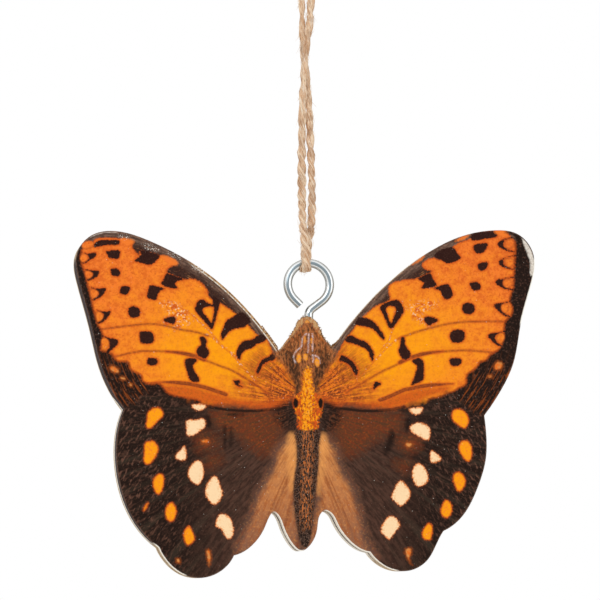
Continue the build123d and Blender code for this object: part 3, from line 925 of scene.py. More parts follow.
    # Hindwings: dark ground with rows of brown speckles, a rusty root and a tan fan
    slanted = point_of(from_body * 0.85 + from_root * 0.53, from_body * 0.16 - from_root * 0.26)
    hatch = noise(slanted, 2300, 2.0, 0.6)
    ground = over(long_streak.rise(0.46, 0.68, 0.45), colours.hind_dark, colours.hind_green)
    side_share = from_body.ramp(0.1, 1.0, 0.017, 0.034)
    row = noise(polar, 2.3, 2.0, 0.6, stretch=(1.3, 0.8, 1.0))
    ground = laid(
        ground,
        (row.rise(0.5, 0.68, 0.35) * side_share, colours.hind_brown),
        (hatch.rise(0.53, 0.66, 0.85) * side_share, colours.hind_brown),
        (fleck.rise(0.54, 0.74, 0.35), colours.hind_brown),
        (speck.rise(0.6, 0.78, 0.3), colours.band_grey),
    )
    inside = from_body.fall(0.013, 0.026, 0.5) * streak.ramp(0.35, 1.0, 0.4, 0.62)
    ground = over(inside, ground, colours.hind_brown)
    rust = over(streak.rise(0.32, 0.66), colours.rust, colours.head_dark)
    rust = over(fleck.rise(0.48, 0.72, 0.6), rust, colours.vein_brown)
    ground = over(mask("rust", 12.0, 15.0, 700.0), ground, rust)
    fan_share = (attribute(tree, "fan") + patch * 8.0).fall(-4.0, 4.0)
    fan_share = fan_share * from_root.ramp(0.2, 1.0, -0.03, -0.017)
    fan = over(fan_share, colours.fan_mauve, colours.fan_tan)
    fan = laid(
        fan,
        (fan_share * from_root.rise(-0.022, -0.008, 0.45), colours.golden),
        (long_streak.rise(0.46, 0.68, 0.5), colours.rust),
        (patch.rise(0.44, 0.64, 0.2), colours.fan_mauve),
        (fleck.rise(0.48, 0.72, 0.4), colours.golden),
        (streak.rise(0.46, 0.66, 0.45), colours.vein_brown),
    )
    ground = laid(
        ground,
        (mask("fan", 7.0, 14.0, 700.0), fan),
        (mask("black", 5.0, 4.0, 1500.0) * 0.9, colours.hind_dark),
        (thick.fall(0.6, 2.0) * 0.9, colours.hind_dark),
    )
    colour = over(mask("hind", 7.0, 6.0, 1200.0), colour, ground)
    golden = mask("golden", 5.0, 6.5, 900.0) * streak.ramp(1.0, 0.55, 0.42, 0.66)
    colour = over(golden * 0.9, colour, colours.golden)
    # Spots
    inner = (attribute(tree, "spot") + fleck * 1.6).fall(-1.4, 1.0)
    spot_colour = over(inner, colours.orange_red, colours.spot_orange)
    spot_colour = over(fleck.rise(0.46, 0.66, 0.7), spot_colour, colours.orange_deep)
    colour = laid(
        colour,
        (mask("spot", 2.4, 4.4), colours.rust),
        (mask("spot", 3.6, 1.7), spot_colour),
        (mask("tan_dot", 5.0, 3.6) * 0.9, colours.vein_brown),
    )
    small_dot = (attribute(tree, "tan_dot") + fleck * 3.0).fall(-0.6, 1.4, 0.75)
    colour = laid(
        colour,
        (small_dot, over(patch.rise(0.44, 0.56), colours.orange_deep, colours.golden)),
        (mask("cream", 2.0, 4.0), colours.rust),
    )
    edge_fleck = fleck.rise(0.5, 0.64, 0.75) * attribute(tree, "cream").ramp(0.12, 1.0, -5.0, -0.5)
    cream_rim = (attribute(tree, "cream") + fleck * 1.4).rise(-1.0, 1.2, 0.85)
    cream_colour = over(cream_rim, over(edge_fleck, colours.cream, colours.golden), colours.orange_deep)
    colour = over(mask("cream", 4.8, 1.4), colour, cream_colour)
    # Margin dots of the forewings
    colour = laid(
        colour,
        (mask("margin_dot", 1.6, 4.4) * 0.85, colours.rust),
        (mask("margin_dot", 1.8, 1.6), orange),
    )
    # Head, thorax and abdomen
    black = mask("black_side", 12.0, 8.0, 1700.0) * streak.ramp(1.0, 0.12, 0.48, 0.64)
    black = black * fleck.ramp(1.0, 0.35, 0.5, 0.6)
    colour = over(black * 0.95, colour, colours.hind_dark)
    hair = noise(point, 2600, 3.0, 0.65, stretch=(1.0, 1.0, 0.42))
    head = over(hair.rise(0.36, 0.62), colours.head_dark, colours.head_brown)
    neck = [(first + second) / 2 for first, second in zip(colours.head_dark, colours.hind_dark)]
    head = laid(
        head,
        (streak.rise(0.5, 0.7, 0.8), colours.vein_brown),
        (fleck.rise(0.56, 0.72, 0.5), colours.golden),
        (mask("neck_side", 7.0, 8.0, 1500.0) * hair.ramp(1.0, 0.5, 0.4, 0.66), neck),
    )
    colour = over(mask("head", 5.0, 5.0, 1500.0), colour, head)
    strand = noise(point, 2100, 3.0, 0.7, stretch=(1.5, 1.0, 0.5))
    middle = abs(attribute(tree, "belly_side"))
    lift = strand + middle.ramp(0.08, -0.07, 1.0, 9.0)
    thorax = over(lift.rise(0.44, 0.58), colours.orange_red, colours.orange_bright)
    thorax = laid(
        thorax,
        (fleck.rise(0.5, 0.61, 0.9), colours.vein_brown),
        (lift.rise(0.6, 0.72, 0.6), colours.golden),
        (speck.rise(0.6, 0.72, 0.5), colours.orange_red),
    )
    down = noise(point, 4300, 3.0, 0.7, stretch=(1.0, 1.0, 0.32))
    belly = over(speck.rise(0.48, 0.64, 0.65), colours.hind_dark, colours.band_grey)
    lit = middle.ramp(1.0, 0.1, 2.0, 8.5) * down.rise(0.46, 0.6)
    lit = lit * from_root.rise(-0.0252, -0.0222)
    belly = laid(
        belly,
        (lit, colours.head_brown),
        (lit * hair.rise(0.52, 0.66, 0.75), colours.orange_deep),
    )
    colour = laid(
        colour,
        (mask("abdomen", 3.0, 2.0, 3200.0), belly),
        (mask("thorax", 9.0, 2.6, 2300.0), thorax),
        (mask("thorax_eye", 1.6, 3.2), colours.orange_red),
        (mask("thorax_eye", 1.6, 1.4), colours.hind_dark),
        (mask("lilac", 1.8, 1.4, 3600.0) * fleck.ramp(1.0, 0.35, 0.4, 0.66), colours.lilac),
        (mask("head_spot", 1.8, 3.0), colours.vein_brown),
    )
    spot_shine = over(fleck.rise(0.4, 0.64), colours.golden, colours.orange_bright)
    colour = over(mask("head_spot", 1.8, 1.4) * 0.9, colour, spot_shine)
    # The print's own edge
    fringe = (rim + fleck).fall(0.9, 1.9) * patch.ramp(0.3, 1.0, 0.4, 0.6)
    colour = over(fringe * 0.45, colour, colours.band_grey)
    light_edge = mask("edge_light", 2.0, 5.0, 1200.0)
    straw = over(fleck.rise(0.4, 0.62), colours.splinter, colours.splinter_dark)
    colour = over(light_edge * rim.fall(2.0, 3.4) * 0.85, colour, straw)
    line = rim.rise(1.5, 2.0) * rim.fall(2.5, 3.1)
    colour = over(light_edge * line * fleck.ramp(0.25, 1.0, 0.38, 0.56) * 0.85, colour, colours.paper)
    bare = mask("white_edge", 2.0, 4.0, 1200.0) * (rim + fleck * 0.9).fall(0.9, 1.7)
    colour = over(bare, colour, colours.paper)
    worn_tip = mask("bare_tip", 2.0, 1.6, 1500.0) * rim.rise(0.6, 1.4)
    colour = over(worn_tip, colour, over(fleck.ramp(0.2, 0.6, 0.4, 0.7), colours.paper, colours.band_grey))
    # Painted highlights: the glints and the scattered white specks stand in for light caught on the lacquer
    glint = mask("glint", 4.0, 3.0, 2000.0) * speck.rise(0.56, 0.64)
    colour = over(glint, colour, colours.paper)
    painted_glint_specks = noise(point, 3600, 0.0, 0.5).rise(0.82, 0.87, 0.5)
    colour = over(painted_glint_specks, colour, colours.paper)
    set_inputs(shader, {"Base Color": colour, "Roughness": cloud.ramp(0.34, 0.52, 0.0, 1.0)})
    add_bump(shader, speck + cloud * 2.0, 0.25, 0.00003)
    return material


def make_veneer_material(name, light, dark, stretch, scale, burnt_share):
    """Bare wood, burnt in places on its sawn walls, with the print's ink and paper at the edge; at two
    notches the paper white is laid on stronger, as painted light against the walls' shade.
    """
    colours = bpy.context.scene.butterfly_colours
    material, tree, shader = new_material(name, {"Specular IOR Level": 0.2})
    grain = use_group(tree, "Wood grain", {
        "Light": light, "Dark": dark, "Stretch": stretch, "Scale": scale,
    })
    point = object_point(tree)
    x, y, z = axes(point)
    wall = attribute(tree, "sawn_wall")
    patch = noise(point, 1500, 3.0, 0.65, stretch=(0.5, 2.0, 0.5))
    colour = over(wall * burnt_share * patch.rise(0.5, 0.58), grain["Color"], colours.core_dark)
    # The two notches beside the abdomen: white paper on the walls, laid on stronger as painted light to
    # offset their shade, with a dark line along them
    low = z.fall(placed((300, 516)).z, placed((300, 508)).z) * abs(x).fall(0.011, 0.0135)
    off_line = abs(y + patch * 0.0016 - 0.0004)
    colour = laid(
        colour,
        (wall * low * 0.7, colours.paper),
        (wall * low * off_line.fall(0.0003, 0.0006), colours.mark_dark),
    )
    # The left wings: ink that ran over the edge above their notch, and bare paper below it
    notch = placed((111, 398))
    tip = placed((80, 264))
    lobe = placed((156, 546))
    left = x.fall(placed((160, 480)).x, placed((170, 480)).x)
    height = z.fall(tip.z, tip.z + 0.002) * z.rise(lobe.z, lobe.z + 0.001)
    limit = z.ramp(0.0001, 0.0015, notch.z - 0.001, notch.z + 0.001)
    beyond = y + noise(point, 2600, 2.0, 0.6) * 0.0005 - limit
    bare = beyond.fall(0.0009, 0.0012) * z.fall(notch.z, notch.z + 0.001)
    colour = laid(
        colour,
        (left * height * (bare * wall), colours.paper),
        (left * height * beyond.fall(0.0, 0.0004) * wall, colours.mark_dark),
    )
    # The torn front of the head
    beside = abs(x) - 0.0052
    head = beside.fall(0.0, 0.001) * z.rise(placed((280, 353)).z, placed((280, 350)).z)
    front = y.fall(0.0006, 0.0014)
    torn_noise = noise(point, 1900, 3.0, 0.65, stretch=(1.0, 0.5, 0.6))
    torn = over(torn_noise.rise(0.38, 0.56), colours.head_brown, colours.splinter)
    torn = over(torn_noise.fall(0.3, 0.4, 0.8), torn, colours.head_dark)
    colour = over(head * front, colour, torn)
    set_inputs(shader, {"Base Color": colour, "Roughness": grain["Roughness"]})
    add_bump(shader, grain["Height"], 0.35, 0.00004)
    return material


def make_splinter_material(colours):
    material, tree, shader = new_material("Torn_wood_fibres", {"Roughness": 0.8, "Specular IOR Level": 0.2})
    share = noise(object_point(tree), 2200, 3.0, 0.6).rise(0.38, 0.6)
    set_inputs(shader, {"Base Color": over(share, colours.splinter, colours.splinter_dark)})
    return material


def make_zinc_material(colours):
    """Bright plated wire: pale, blue and dark lines that run along it, by the side of the wire, are painted
    reflections of its surroundings.
    """
    material, tree, shader = new_material("Bright_zinc_wire_painted_reflections", {"Metallic": 1.0})
    point = object_point(tree)
    draw = noise(point, 2600, 3.0, 0.6)
    cloud = noise(point, 500, 2.0, 0.5)
    side = attribute(tree, "section") + (cloud - 0.5) * 0.16
    off = abs(side)
    colour = laid(
        colours.zinc,
        (abs(side - 0.03).fall(0.22, 0.46), colours.zinc_blue_reflection),
        (off.rise(0.48, 0.6, 0.45).maths("MAXIMUM", off.rise(0.66, 0.84)), colours.zinc_dark_reflection_and_marks),
        (draw.rise(0.62, 0.7) * 0.35, colours.zinc_dark_reflection_and_marks),
    )
    set_inputs(shader, {"Base Color": colour, "Roughness": draw.ramp(0.2, 0.34, 0.3, 0.75)})
    add_bump(shader, draw, 0.05, 0.00002)
    return material


def make_jute_material(colours):
    """Jute fibres: streaks along each ply, and painted shade that makes them darker down between the plies.
    """
    material, tree, shader = new_material("Two_ply_jute", {"Roughness": 0.85, "Specular IOR Level": 0.2})
    fibre = attribute(tree, "fibre", "Vector")
    coarse = noise(fibre, 1.3, 3.0, 0.6)
    fine = noise(fibre, 3.0, 3.0, 0.7, stretch=(1.0, 1.0, 0.7))
    patch = noise(object_point(tree), 460, 2.0, 0.5)
    colour = laid(
        colours.jute,
        (coarse.rise(0.36, 0.62), colours.jute_tan),
        (fine.rise(0.53, 0.64, 0.9), colours.jute_dark_and_crease_shade),
        (fine.fall(0.32, 0.46, 0.8), colours.paper),
        (patch.rise(0.5, 0.62, 0.35), colours.jute_dark_and_crease_shade),
        # Painted shade down between the plies
        (attribute(tree, "groove").rise(0.3, 0.9, 0.85), colours.jute_dark_and_crease_shade),
    )
    set_inputs(shader, {"Base Color": colour})
    add_bump(shader, fine + coarse * 0.7, 0.7, 0.00008)
    return material


# Mesh helpers

def finish_piece(mesh_or_bmesh, name, material, body=None, smooth=False):
    """An object at the origin, in the scene, with its material and the body that it rides on."""
    mesh = mesh_or_bmesh
    if isinstance(mesh_or_bmesh, bmesh.types.BMesh):
        mesh = bpy.data.meshes.new(name)
        mesh_or_bmesh.to_mesh(mesh)
        mesh_or_bmesh.free()
    if smooth:
        for polygon in mesh.polygons:
            polygon.use_smooth = True
    piece = bpy.data.objects.new(name, mesh)
    bpy.context.scene.collection.objects.link(piece)
    piece.data.materials.clear()
    piece.data.materials.append(material)
    if body:
        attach(piece, body)
    return piece


def merged_copy(node):
    """A CAD node's shape with its loose triangles merged into whole faces."""
    bm = bmesh.new()
    bm.from_mesh(frame["nodes"][node].data)
    bmesh.ops.remove_doubles(bm, verts=bm.verts, dist=1e-7)
    bmesh.ops.dissolve_limit(
        bm, angle_limit=radians(0.05), verts=bm.verts, edges=bm.edges, use_dissolve_boundaries=False
    )
    return bm


def cut_evenly(bm, faces, axis, lines):
    """Cuts flat faces along every one of the lines, the middle one first."""
    if not lines or not faces:
        return faces
    half = len(lines) // 2
    place, direction = Vector(), Vector()
    place[axis] = lines[half]
    direction[axis] = 1
    edges = {edge for face in faces for edge in face.edges}
    corners = {corner for face in faces for corner in face.verts}
    result = bmesh.ops.bisect_plane(
        bm, geom=[*faces, *edges, *corners], dist=1e-8, plane_co=place, plane_no=direction
    )
    below, above = [], []
    for item in result["geom"]:
        if isinstance(item, bmesh.types.BMFace):
            side = below if item.calc_center_bounds()[axis] < lines[half] else above
            side.append(item)
    return cut_evenly(bm, below, axis, lines[:half]) + cut_evenly(bm, above, axis, lines[half + 1:])


def rounded(outline, closed=True, steps=4):
    """An outline with its corners rounded by a curve through its points."""
    points = [Vector(point) for point in outline]
    count = len(points)
    result = []
    for index in range(count if closed else count - 1):
        if closed:
            before, start = points[index - 1], points[index]
            end, after = points[(index + 1) % count], points[(index + 2) % count]
        else:
            before, start = points[max(index - 1, 0)], points[index]
            end, after = points[index + 1], points[min(index + 2, count - 1)]
        for step in range(steps):
            t = step / steps
            result.append(0.5 * (
                2 * start + (end - before) * t
                + (2 * before - 5 * start + 4 * end - after) * t * t
                + (3 * start - before - 3 * end + after) * t * t * t
            ))
    if not closed:
        result.append(points[-1])
    return np.array([tuple(point) for point in result])


def to_segments(pixels, starts, ends):
    """Distance from each pixel to each segment, and on which side of it the pixel lies."""
    along = ends - starts
    offset = pixels[:, None, :] - starts[None]
    share = np.clip((offset * along).sum(2) / (along ** 2).sum(1), 0, 1)
    gap = np.linalg.norm(offset - along * share[:, :, None], axis=2)
    side = np.sign(along[:, 0] * offset[:, :, 1] - along[:, 1] * offset[:, :, 0])
    return gap, side


def distance_to_marks(pixels, outlines, reach=20.0):
    """Distance in pixels to the nearest closed outline, below zero inside it."""
    distance = np.full(len(pixels), reach)
    for outline in outlines:
        starts = rounded(outline)
        ends = np.roll(starts, -1, 0)
        near = ((pixels > starts.min(0) - reach) & (pixels < starts.max(0) + reach)).all(1)
        if not near.any():
            continue
        close = pixels[near]
        gap = to_segments(close, starts, ends)[0].min(1)
        level = (starts[None, :, 1] > close[:, 1:]) != (ends[None, :, 1] > close[:, 1:])
        rise = np.where(ends[:, 1] == starts[:, 1], 1.0, ends[:, 1] - starts[:, 1])
        crossing = starts[:, 0] + (close[:, 1:] - starts[:, 1]) * (ends[:, 0] - starts[:, 0]) / rise
        inside = (level & (close[:, :1] < crossing)).sum(1) % 2 == 1
        distance[near] = np.minimum(distance[near], np.where(inside, -gap, gap))
    return distance


def distance_to_lines(pixels, lines, reach=14.0):
    """Distance in pixels to the nearest open line, and the same with its side as its sign."""
    far = np.full(len(pixels), reach)
    signed = np.full(len(pixels), reach)
    for line in lines:
        points = rounded(line, False)
        gap, side = to_segments(pixels, points[:-1], points[1:])
        nearest = gap.argmin(1)
        rows = np.arange(len(pixels))
        closer = gap[rows, nearest] < far
        far[closer] = gap[rows, nearest][closer]
        signed[closer] = (gap[rows, nearest] * side[rows, nearest])[closer]
    return far, signed


def corner_places(mesh):
    """The places of a mesh's corners, one row each."""
    places = np.empty(len(mesh.vertices) * 3)
    mesh.vertices.foreach_get("co", places)
    return places.reshape(-1, 3)


def store(mesh, name, values):
    """Stores a number or a vector for each corner of a mesh."""
    kind, key = ("FLOAT", "value") if values.ndim == 1 else ("FLOAT_VECTOR", "vector")
    layer = mesh.attributes.new(name, kind, "POINT")
    layer.data.foreach_set(key, values.ravel().astype(np.float32))


def paint_distances(mesh):
    """Stores, at every corner of the print, how far it lies from each kind of mark."""
    pixels = seen_at(corner_places(mesh))
    hearts = np.maximum(
        distance_to_marks(pixels, heart_rings_px), -distance_to_marks(pixels, heart_insides_px)
    )
    store(mesh, "dark", np.minimum(distance_to_marks(pixels, dark_marks_px), hearts))
    marks = {
        "band": leading_bands_px, "band_streak": band_streaks_px, "margin": margins_px,
        "spot": orange_spots_px, "margin_dot": margin_dots_px, "cream": cream_spots_px,
        "tan_dot": tan_dots_px, "golden": golden_marks_px, "hind": [hindwings_px],
        "rust": rust_patches_px, "black": black_patches_px, "black_side": black_sides_px,
        "fan": fans_px, "abdomen": [abdomen_px], "thorax": [thorax_px], "thorax_eye": thorax_eyes_px,
        "head": [head_px], "neck_side": neck_sides_px, "head_spot": head_spots_px,
        "red_strip": red_strips_px, "scar": scars_px, "glint": glints_px,
        "edge_light": edge_lights_px, "white_edge": white_edges_px, "bare_tip": bare_tips_px,
    }
    for name, outlines in marks.items():
        store(mesh, name, distance_to_marks(pixels, outlines))
    lines = {"vein_far": veins_px, "faint_vein": faint_veins_px, "brown_vein": brown_veins_px}
    for name, drawn in lines.items():
        store(mesh, name, distance_to_lines(pixels, drawn)[0])
    store(mesh, "lilac", distance_to_lines(pixels, lilac_lines_px)[0] - lilac_half_width_px)
    store(mesh, "belly_side", distance_to_lines(pixels, [belly_line_px])[1])
    centres = [(pixels - np.array(centre)) / np.array(glow_reach_px) for centre in glow_centres_px]
    store(mesh, "glow", np.max([np.exp(-(offset ** 2).sum(1)) for offset in centres], 0))


def rim_distance(bm, mesh):
    """Distance from each corner of the print to the print's edge, in pixels."""
    rim = np.array([
        [edge.verts[0].co.x, edge.verts[0].co.z, edge.verts[1].co.x, edge.verts[1].co.z]
        for edge in bm.edges
        if all(abs(corner.co.y - print_back) < 1e-6 for corner in edge.verts)
    ])
    flat = corner_places(mesh)[:, [0, 2]] / metre_per_px
    starts, ends = rim[:, :2] / metre_per_px, rim[:, 2:] / metre_per_px
    distance = []
    for chunk in np.array_split(flat, len(flat) // corners_at_once + 1):
        gap, _ = to_segments(chunk, starts, ends)
        distance.append(np.minimum(gap.min(1), rim_reach_px))
    return np.concatenate(distance)


def add_spline(curve, kind, points, radii=None):
    spline = curve.splines.new(kind)
    spline.points.add(len(points) - 1)
    for control, point, radius in zip(spline.points, points, radii or [1.0] * len(points)):
        control.co = (*point, 1)
        control.radius = radius
    return spline


def mesh_of(curve):
    """The mesh of a curve. The curve itself is removed."""
    holder = bpy.data.objects.new(curve.name, curve)
    bpy.context.scene.collection.objects.link(holder)
    graph = bpy.context.evaluated_depsgraph_get()
    mesh = bpy.data.meshes.new_from_object(holder.evaluated_get(graph))
    bpy.data.objects.remove(holder)
    bpy.data.curves.remove(curve)
    return mesh


def nurbs_line(points):
    """The points of a smooth NURBS route, as Blender gives them for a curve with no bevel."""
    curve = bpy.data.curves.new("twine_route", "CURVE")
    curve.dimensions = "3D"
    spline = add_spline(curve, "NURBS", points)
    spline.order_u = 3
    spline.use_endpoint_u = True
    spline.resolution_u = 12
    mesh = mesh_of(curve)
    line = [corner.co.copy() for corner in mesh.vertices]
    bpy.data.meshes.remove(mesh)
    return line


def carried_frames(line):
    """A direction across the line at each of its points, carried along without twisting."""
    tangents = [
        (line[min(index + 1, len(line) - 1)] - line[max(index - 1, 0)]).normalized()
        for index in range(len(line))
    ]
    across = tangents[0].orthogonal().normalized()
    frames = []
    for before, tangent in zip([tangents[0]] + tangents, tangents):
        across = before.rotation_difference(tangent) @ across
        across = (across - tangent * across.dot(tangent)).normalized()
        frames.append((tangent, across, tangent.cross(across)))
    return frames


def tube_along(name, runs, bevel_resolution):
    """One mesh of round tubes: each run is a list of points with a radius each."""
    curve = bpy.data.curves.new(name, "CURVE")
    curve.dimensions = "3D"
    curve.bevel_depth = 1.0
    curve.bevel_resolution = bevel_resolution
    curve.use_fill_caps = True
    for points, radii in runs:
        add_spline(curve, "POLY", points, radii)
    mesh = mesh_of(curve)
    mesh.name = name
    return mesh


def between(value, start, end):
    """How far a value has gone from start to end, from 0 to 1."""
    return min(max((value - start) / (end - start), 0), 1)


def nearness(value, middle, reach):
    """1 at the middle, falling to 0 at the reach on either side of it."""
    return max(1 - abs(value - middle) / reach, 0)


# Operators

class MakeFrontPrint(bpy.types.Operator):
    """Make the lacquered paper print on the front of the board"""
    bl_idname = "butterfly.front_print"
    bl_label = "Front print"

    def execute(self, context):
        sizes = context.scene.butterfly_sizes
        colours = context.scene.butterfly_colours
        bm = merged_copy("front_print")
        low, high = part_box("front_print")
        faces = [face for face in bm.faces if face.normal.y < -0.9]
        for axis in (0, 2):
            lines = np.arange(low[axis] + sizes.print_cell, high[axis], sizes.print_cell).tolist()
            faces = cut_evenly(bm, faces, axis, lines)
        mesh = bpy.data.meshes.new("butterfly_print")
        bm.to_mesh(mesh)
        rim = rim_distance(bm, mesh)
        bm.free()
        paint_distances(mesh)
        store(mesh, "rim", rim)
        piece = finish_piece(mesh, "butterfly_print", make_print_material(colours), "ornament")
        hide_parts("front_print")
        return {"FINISHED"}


class DressBoard(bpy.types.Operator):
    """Give the three plies their wood, and make the torn splinters at the head"""
    bl_idname = "butterfly.board"
    bl_label = "Board"

    def execute(self, context):
        sizes = context.scene.butterfly_sizes
        colours = context.scene.butterfly_colours
        outer = make_veneer_material(
            "Sanded_face_veneer", colours.veneer, colours.veneer_dark, (1.0, 1.0, 0.10), 1500.0, 0.35
        )
        core = make_veneer_material(
            "Sawn_core_veneer", colours.core, colours.core_dark, (0.12, 1.0, 1.0), 1500.0, 0.75
        )
        for node, material, slot in (
            ("front_ply", outer, "face_veneer"), ("core_ply", core, "core_veneer"),
            ("back_ply", outer, "face_veneer"),
        ):
            bm = merged_copy(node)
            self.lean_walls(bm)
            sawn = bm.faces.layers.float.new("sawn_wall")
            for face in bm.faces:
                face[sawn] = float(self.is_wall(face))
            piece = finish_piece(bm, node + "_wood", material, "ornament")
            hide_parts(node)
        mesh = tube_along("head_splinters", self.splinter_runs(sizes.splinter_length), 1)
        material = make_splinter_material(colours)
        piece = finish_piece(mesh, "head_splinters", material, "ornament", smooth=True)
        return {"FINISHED"}

    def is_wall(self, face):
        return abs(face.normal.y) < 0.5

    def lean_walls(self, bm):
        """Leans the walls that the photograph hides along the line of sight."""
        for corner in bm.verts:
            outward = sum((face.normal for face in corner.link_faces if self.is_wall(face)), Vector())
            lean = outward.normalized().dot(towards_camera)
            if outward.z > 0 and lean > 0 and corner.co.x > head_left:
                behind = (corner.co.y - print_back) / -towards_camera.y
                corner.co -= outward.normalized() * lean * behind

    def splinter_runs(self, full_length):
        """Bent splinters along the torn edges, each as its points and radii."""
        chance = random.Random(11)
        runs = []
        for line_px, count, longest in head_splinters_px:
            for index in range(count):
                share = (index + chance.random()) / count * (len(line_px) - 1)
                step = min(int(share), len(line_px) - 2)
                first, last = Vector(line_px[step]), Vector(line_px[step + 1])
                near = first.lerp(last, share - step)
                edge = (last - first).normalized()
                start = placed(near, chance.uniform(1.0, 20.0))
                away = Vector((edge.y, 0, edge.x)) * chance.uniform(0.15, 0.9)
                lie = Vector((edge.x, chance.uniform(-0.5, 0.5), -edge.y)) * chance.choice((-1.0, 1.0, 1.2))
                outward = (away + lie).normalized()
                length = full_length * longest * chance.uniform(0.35, 1.0)
                bend = Vector([chance.uniform(-1, 1) for _ in range(3)]) * length * 0.25
                points = [
                    start - outward * length * 0.5, start, start + outward * length * 0.35 + bend * 0.4,
                    start + outward * length * 0.7 + bend,
                ]
                thick = chance.uniform(0.00004, 0.00016)
                runs.append((points, [thick, thick, thick * 0.7, thick * 0.15]))
        return runs


class MakeScrewEye(bpy.types.Operator):
    """Bend the open screw eye from one wire"""
    bl_idname = "butterfly.screw_eye"
    bl_label = "Screw eye"

    def execute(self, context):
        sizes = context.scene.butterfly_sizes
        colours = context.scene.butterfly_colours
        shank_corner = ring_centre - ring_radius / cos(wire_slope)
        shank_top = shank_corner - shank_bend_radius * tan((pi / 2 - wire_slope) / 2)
        shank_end = shank_top - shank_length
        bm = bmesh.new()
        section = bm.verts.layers.float.new("section")
        start = bmesh.ops.create_circle(
            bm, cap_ends=False, segments=sizes.wire_sides, radius=wire_radius,
            matrix=Matrix.Translation((0, 0, shank_end)),
        )
        for corner in start["verts"]:
            corner[section] = corner.co.x / wire_radius
        foot = list(dict.fromkeys(edge for corner in start["verts"] for edge in corner.link_edges))

        def drawn(edges, offset):
            """Draws the wire straight on from its last ring of edges."""
            made = bmesh.ops.extrude_edge_only(bm, edges=edges)["geom"]
            corners = [item for item in made if isinstance(item, bmesh.types.BMVert)]
            bmesh.ops.translate(bm, verts=corners, vec=offset)
            return [item for item in made if isinstance(item, bmesh.types.BMEdge) and item.is_boundary]

        def bent(edges, centre, angle, steps):
            """Bends the wire on round a centre in the plane of the eye."""
            made = bmesh.ops.spin(
                bm, geom=edges, cent=centre, axis=(0, 1, 0), dvec=(0, 0, 0), angle=angle,
                steps=steps, use_merge=False, use_normal_flip=False, use_duplicate=False,
            )["geom_last"]
            return [item for item in made if isinstance(item, bmesh.types.BMEdge)]

        end = drawn(foot, Vector((0, 0, shank_top - shank_end)))
        end = bent(end, (shank_bend_radius, 0, shank_top), pi / 2 - wire_slope, 12)
        corners = dict.fromkeys(corner for edge in end for corner in edge.verts)
        middle = sum((corner.co for corner in corners), Vector()) / len(corners)
        ring_foot = ring_centre - ring_radius * cos(wire_slope)
        end = drawn(end, Vector((ring_radius * sin(wire_slope), 0, ring_foot)) - middle)
        end = bent(end, (0, 0, ring_centre), -(2 * pi - open_end_slope - wire_slope), 72)
        tip_direction = Vector((cos(open_end_slope), 0, -sin(open_end_slope)))
        end = drawn(end, tip_direction * open_end_length)
        cap = bmesh.ops.contextual_create(bm, geom=end)["faces"]
        bmesh.ops.bevel(
            bm, geom=list(cap[0].edges), offset=wire_radius * 0.10, segments=2, profile=0.5,
            affect="EDGES", material=-1,
        )
        point = drawn(foot, Vector((0, 0, -shank_point_length)))
        corners = dict.fromkeys(corner for edge in point for corner in edge.verts)
        bmesh.ops.scale(
            bm, verts=list(corners), vec=Vector((1, 1, 1)) * shank_point_radius / wire_radius,
            space=Matrix.Translation((0, 0, -(shank_end - shank_point_length))),
        )
        bmesh.ops.contextual_create(bm, geom=point)
        bmesh.ops.remove_doubles(bm, verts=bm.verts, dist=1e-7)
        bmesh.ops.recalc_face_normals(bm, faces=bm.faces)
        piece = finish_piece(bm, "screw_eye_wire", make_zinc_material(colours), "ornament")
        for polygon in piece.data.polygons:
            polygon.use_smooth = len(polygon.vertices) == 4
        # Painted reflections: each corner's place among the stripes is turned by how the wire faces the
        # camera, so the painted stripes lie where reflections would
        side = piece.data.attributes["section"].data
        for corner, value in zip(piece.data.vertices, side):
            from_ring = Vector((corner.co.x, 0, corner.co.z - ring_centre))
            lean = towards_camera.dot(from_ring.normalized())
            if from_ring.length > ring_radius * 1.35:
                lean = towards_camera.x
            value.value += lean * corner.co.y / wire_radius
        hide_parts("screw_eye")
        return {"FINISHED"}


